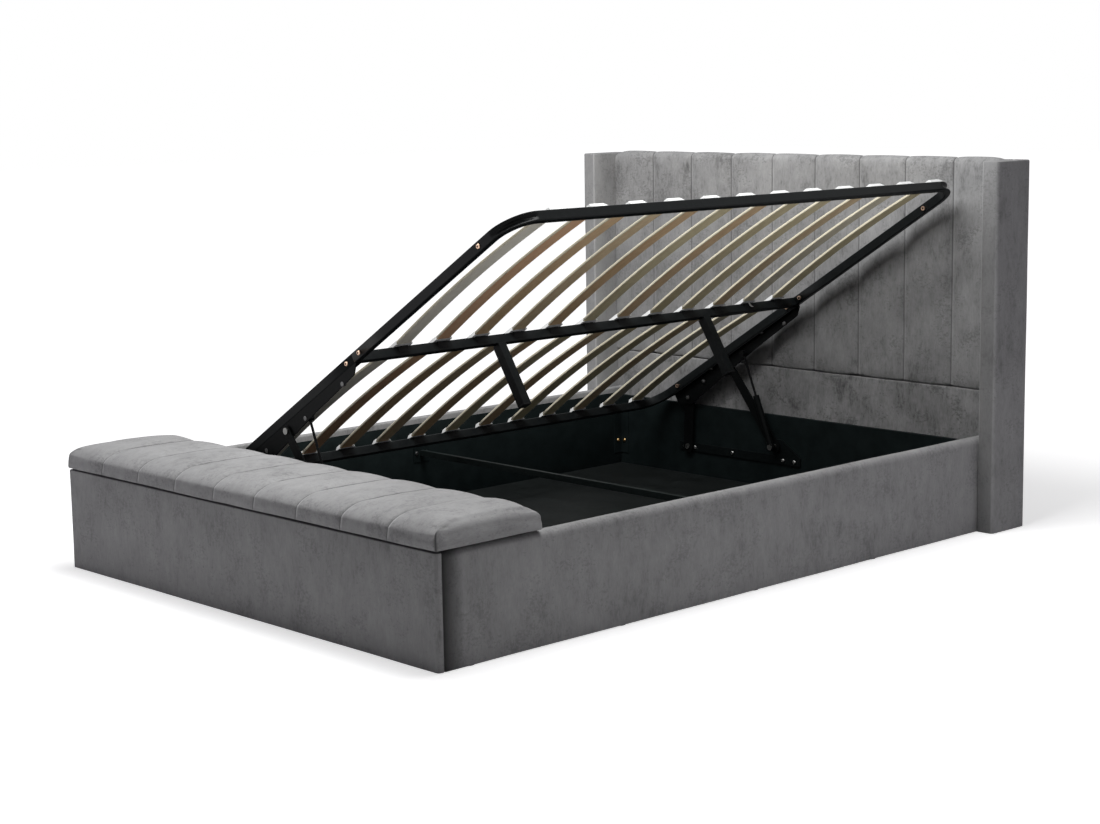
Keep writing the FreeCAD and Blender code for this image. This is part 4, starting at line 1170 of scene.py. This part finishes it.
def tongue_shape(place_y, face_x, side):
    """The black clip on the face of the tube or rail under a cap."""
    start, stop = sorted((face_x, face_x + side * tongue_thick))
    bm = box_shape((start, place_y - tongue_half, tongue_low), (stop, place_y + tongue_half, tongue_top))
    round_edges(bm, bm.edges[:], tongue_round, 2)
    for face in bm.faces:
        face.material_index = 1
    return bm


for name, start, stop, mouths, face_x, side in (
        ("near", 0.764, 0.793, (-1,), 0.775, -1), ("far", -0.793, -0.768, (1,), -0.775, 1),
        ("centre", -0.023, 0.023, (-1, 1), rail_half, 1)):
    shapes = []
    for place_y in slat_places:
        shapes += [holder_shape(place_y, start, stop, mouths), tongue_shape(place_y, face_x, side)]
    frame_piece(name + "_holders", gathered(shapes), ["white_plastic", "black_plastic"],
                ["slat_holders_" + name])
print(len(slat_places) * 3, "holders")

# %% [markdown]
# ## Strap hook
# A small white hook hangs on the middle rail near the head, for a strap that pulls the frame down. A
# thin box is sliced, and its lower half is curled outwards.

# %% Strap hook
hook_y, hook_half, hook_low, hook_top, hook_thick, hook_gap = 0.86, 0.004, -0.02, 0.0035, 0.0022, 0.0035
hook_curl, curl_start, curl_length, hook_round = 0.008, -0.008, 0.012, 0.0007
hook = box_shape((rail_half, hook_y - hook_half, hook_low),
                 (rail_half + hook_thick, hook_y + hook_half, hook_top))
slice_at(hook, 2, rows(hook_low, hook_top, hook_gap))
for v in hook.verts:
    v.co.x += hook_curl * max(0.0, (curl_start - v.co.z) / curl_length) ** 2
round_edges(hook, sharp_edges(hook, 0.8), hook_round, 2)
bmesh.ops.transform(hook, matrix=frame_place, verts=hook.verts)
finished("strap_hook", hook, ["white_plastic"], [], "slat_frame", "white_plastic")
print("hook at", hook_y)

# %% [markdown]
# ## Parts kept from the rigid model
# The boards inside the box, the brackets, arms and bolts have the right shape already. Their meshes are
# loose triangles with knife-sharp edges, so a copy is merged and its edges are broken by half a
# millimetre or more, as a deburred part's are: that thin bevel catches the light. Two sets of bolts are
# copied to give some of them a duller plating. All other nodes only get their finish.

# %% Broken edges
flat_within, sharp_from, bolt_sharp_from = math.radians(1), math.radians(28), math.radians(40)


def merged_copy(node):
    """A node's mesh with its loose triangles joined."""
    bm = bmesh.new()
    bm.from_mesh(nodes[node].data)
    bmesh.ops.remove_doubles(bm, verts=bm.verts, dist=1e-5)
    return bm


def two_toned(node, bright, dull, is_dull):
    """A copy of a node of bolts, some of them bright and some dull, standing for the node."""
    bm = merged_copy(node)
    for face in bm.faces:
        face.material_index = 1 if is_dull(face.calc_center_median()) else 0
    piece = crisp(finished(node + "_part", bm, [bright, dull], [node]))
    piece.data.set_sharp_from_angle(angle=bolt_sharp_from)


def broken_edges(node, width, finish):
    """A copy of a node with its sharp edges bevelled, standing for the node."""
    bm = merged_copy(node)
    bmesh.ops.dissolve_limit(bm, angle_limit=flat_within, verts=bm.verts, edges=bm.edges,
                             delimit={"NORMAL"})
    round_edges(bm, sharp_edges(bm, sharp_from), width, 2)
    crisp(finished(node + "_part", bm, [finish], [node]))


edge_widths = {
    "leg_foot": 0.002, "leg_head": 0.002, "leg_caps": 0.0015, "cross_bar": 0.0012,
    "lift_angle_head": 0.001, "lift_angle_foot": 0.001, "rear_arm_head": 0.0008, "rear_arm_foot": 0.0008,
    "front_arm_head": 0.0008, "front_arm_foot": 0.0008, "lift_base_head": 0.0008, "lift_base_foot": 0.0008,
    "corner_brackets": 0.0006, "cross_bar_brackets": 0.0006, "bench_partition": 0.001, "head_wall": 0.001,
}
finish_of_node = dict(slot_of_node)
finish_of_node.update(frame_pivot_bolts="worn_zinc", base_pivot_studs="worn_zinc", cross_bar="dull_steel",
                      strut_cylinders="lift_steel", corner_brackets="dark_board",
                      cross_bar_brackets="dark_board", bench_floor="floor_board")
for end in ("_head", "_foot"):
    finish_of_node["lift_base" + end] = "base_steel"
    for part in ("lift_angle", "rear_arm", "front_arm"):
        finish_of_node[part + end] = "lift_steel"
finish_of_node.update((node, "floor_board") for node in nodes if node.startswith("floor_board"))
for node, width in edge_widths.items():
    broken_edges(node, width, finish_of_node[node])
print(len(edge_widths), "parts with broken edges")

# %% Bolts and the other nodes
to_flat = frame_place.inverted()
bar_low, bar_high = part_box("cross_bar_brackets")
below_tube = -tube_height - 0.002
two_toned("frame_bolts", "copper_bolt", "dark_zinc", lambda c: (to_flat @ c).z < below_tube)
two_toned("carcass_bolts", "brass_bolt", "dark_zinc", lambda c: bar_low.y < c.y < bar_high.y)
for node, obj in nodes.items():
    obj.data.materials.clear()
    obj.data.materials.append(finishes[finish_of_node[node]])
print("finishes on", len(nodes), "nodes")
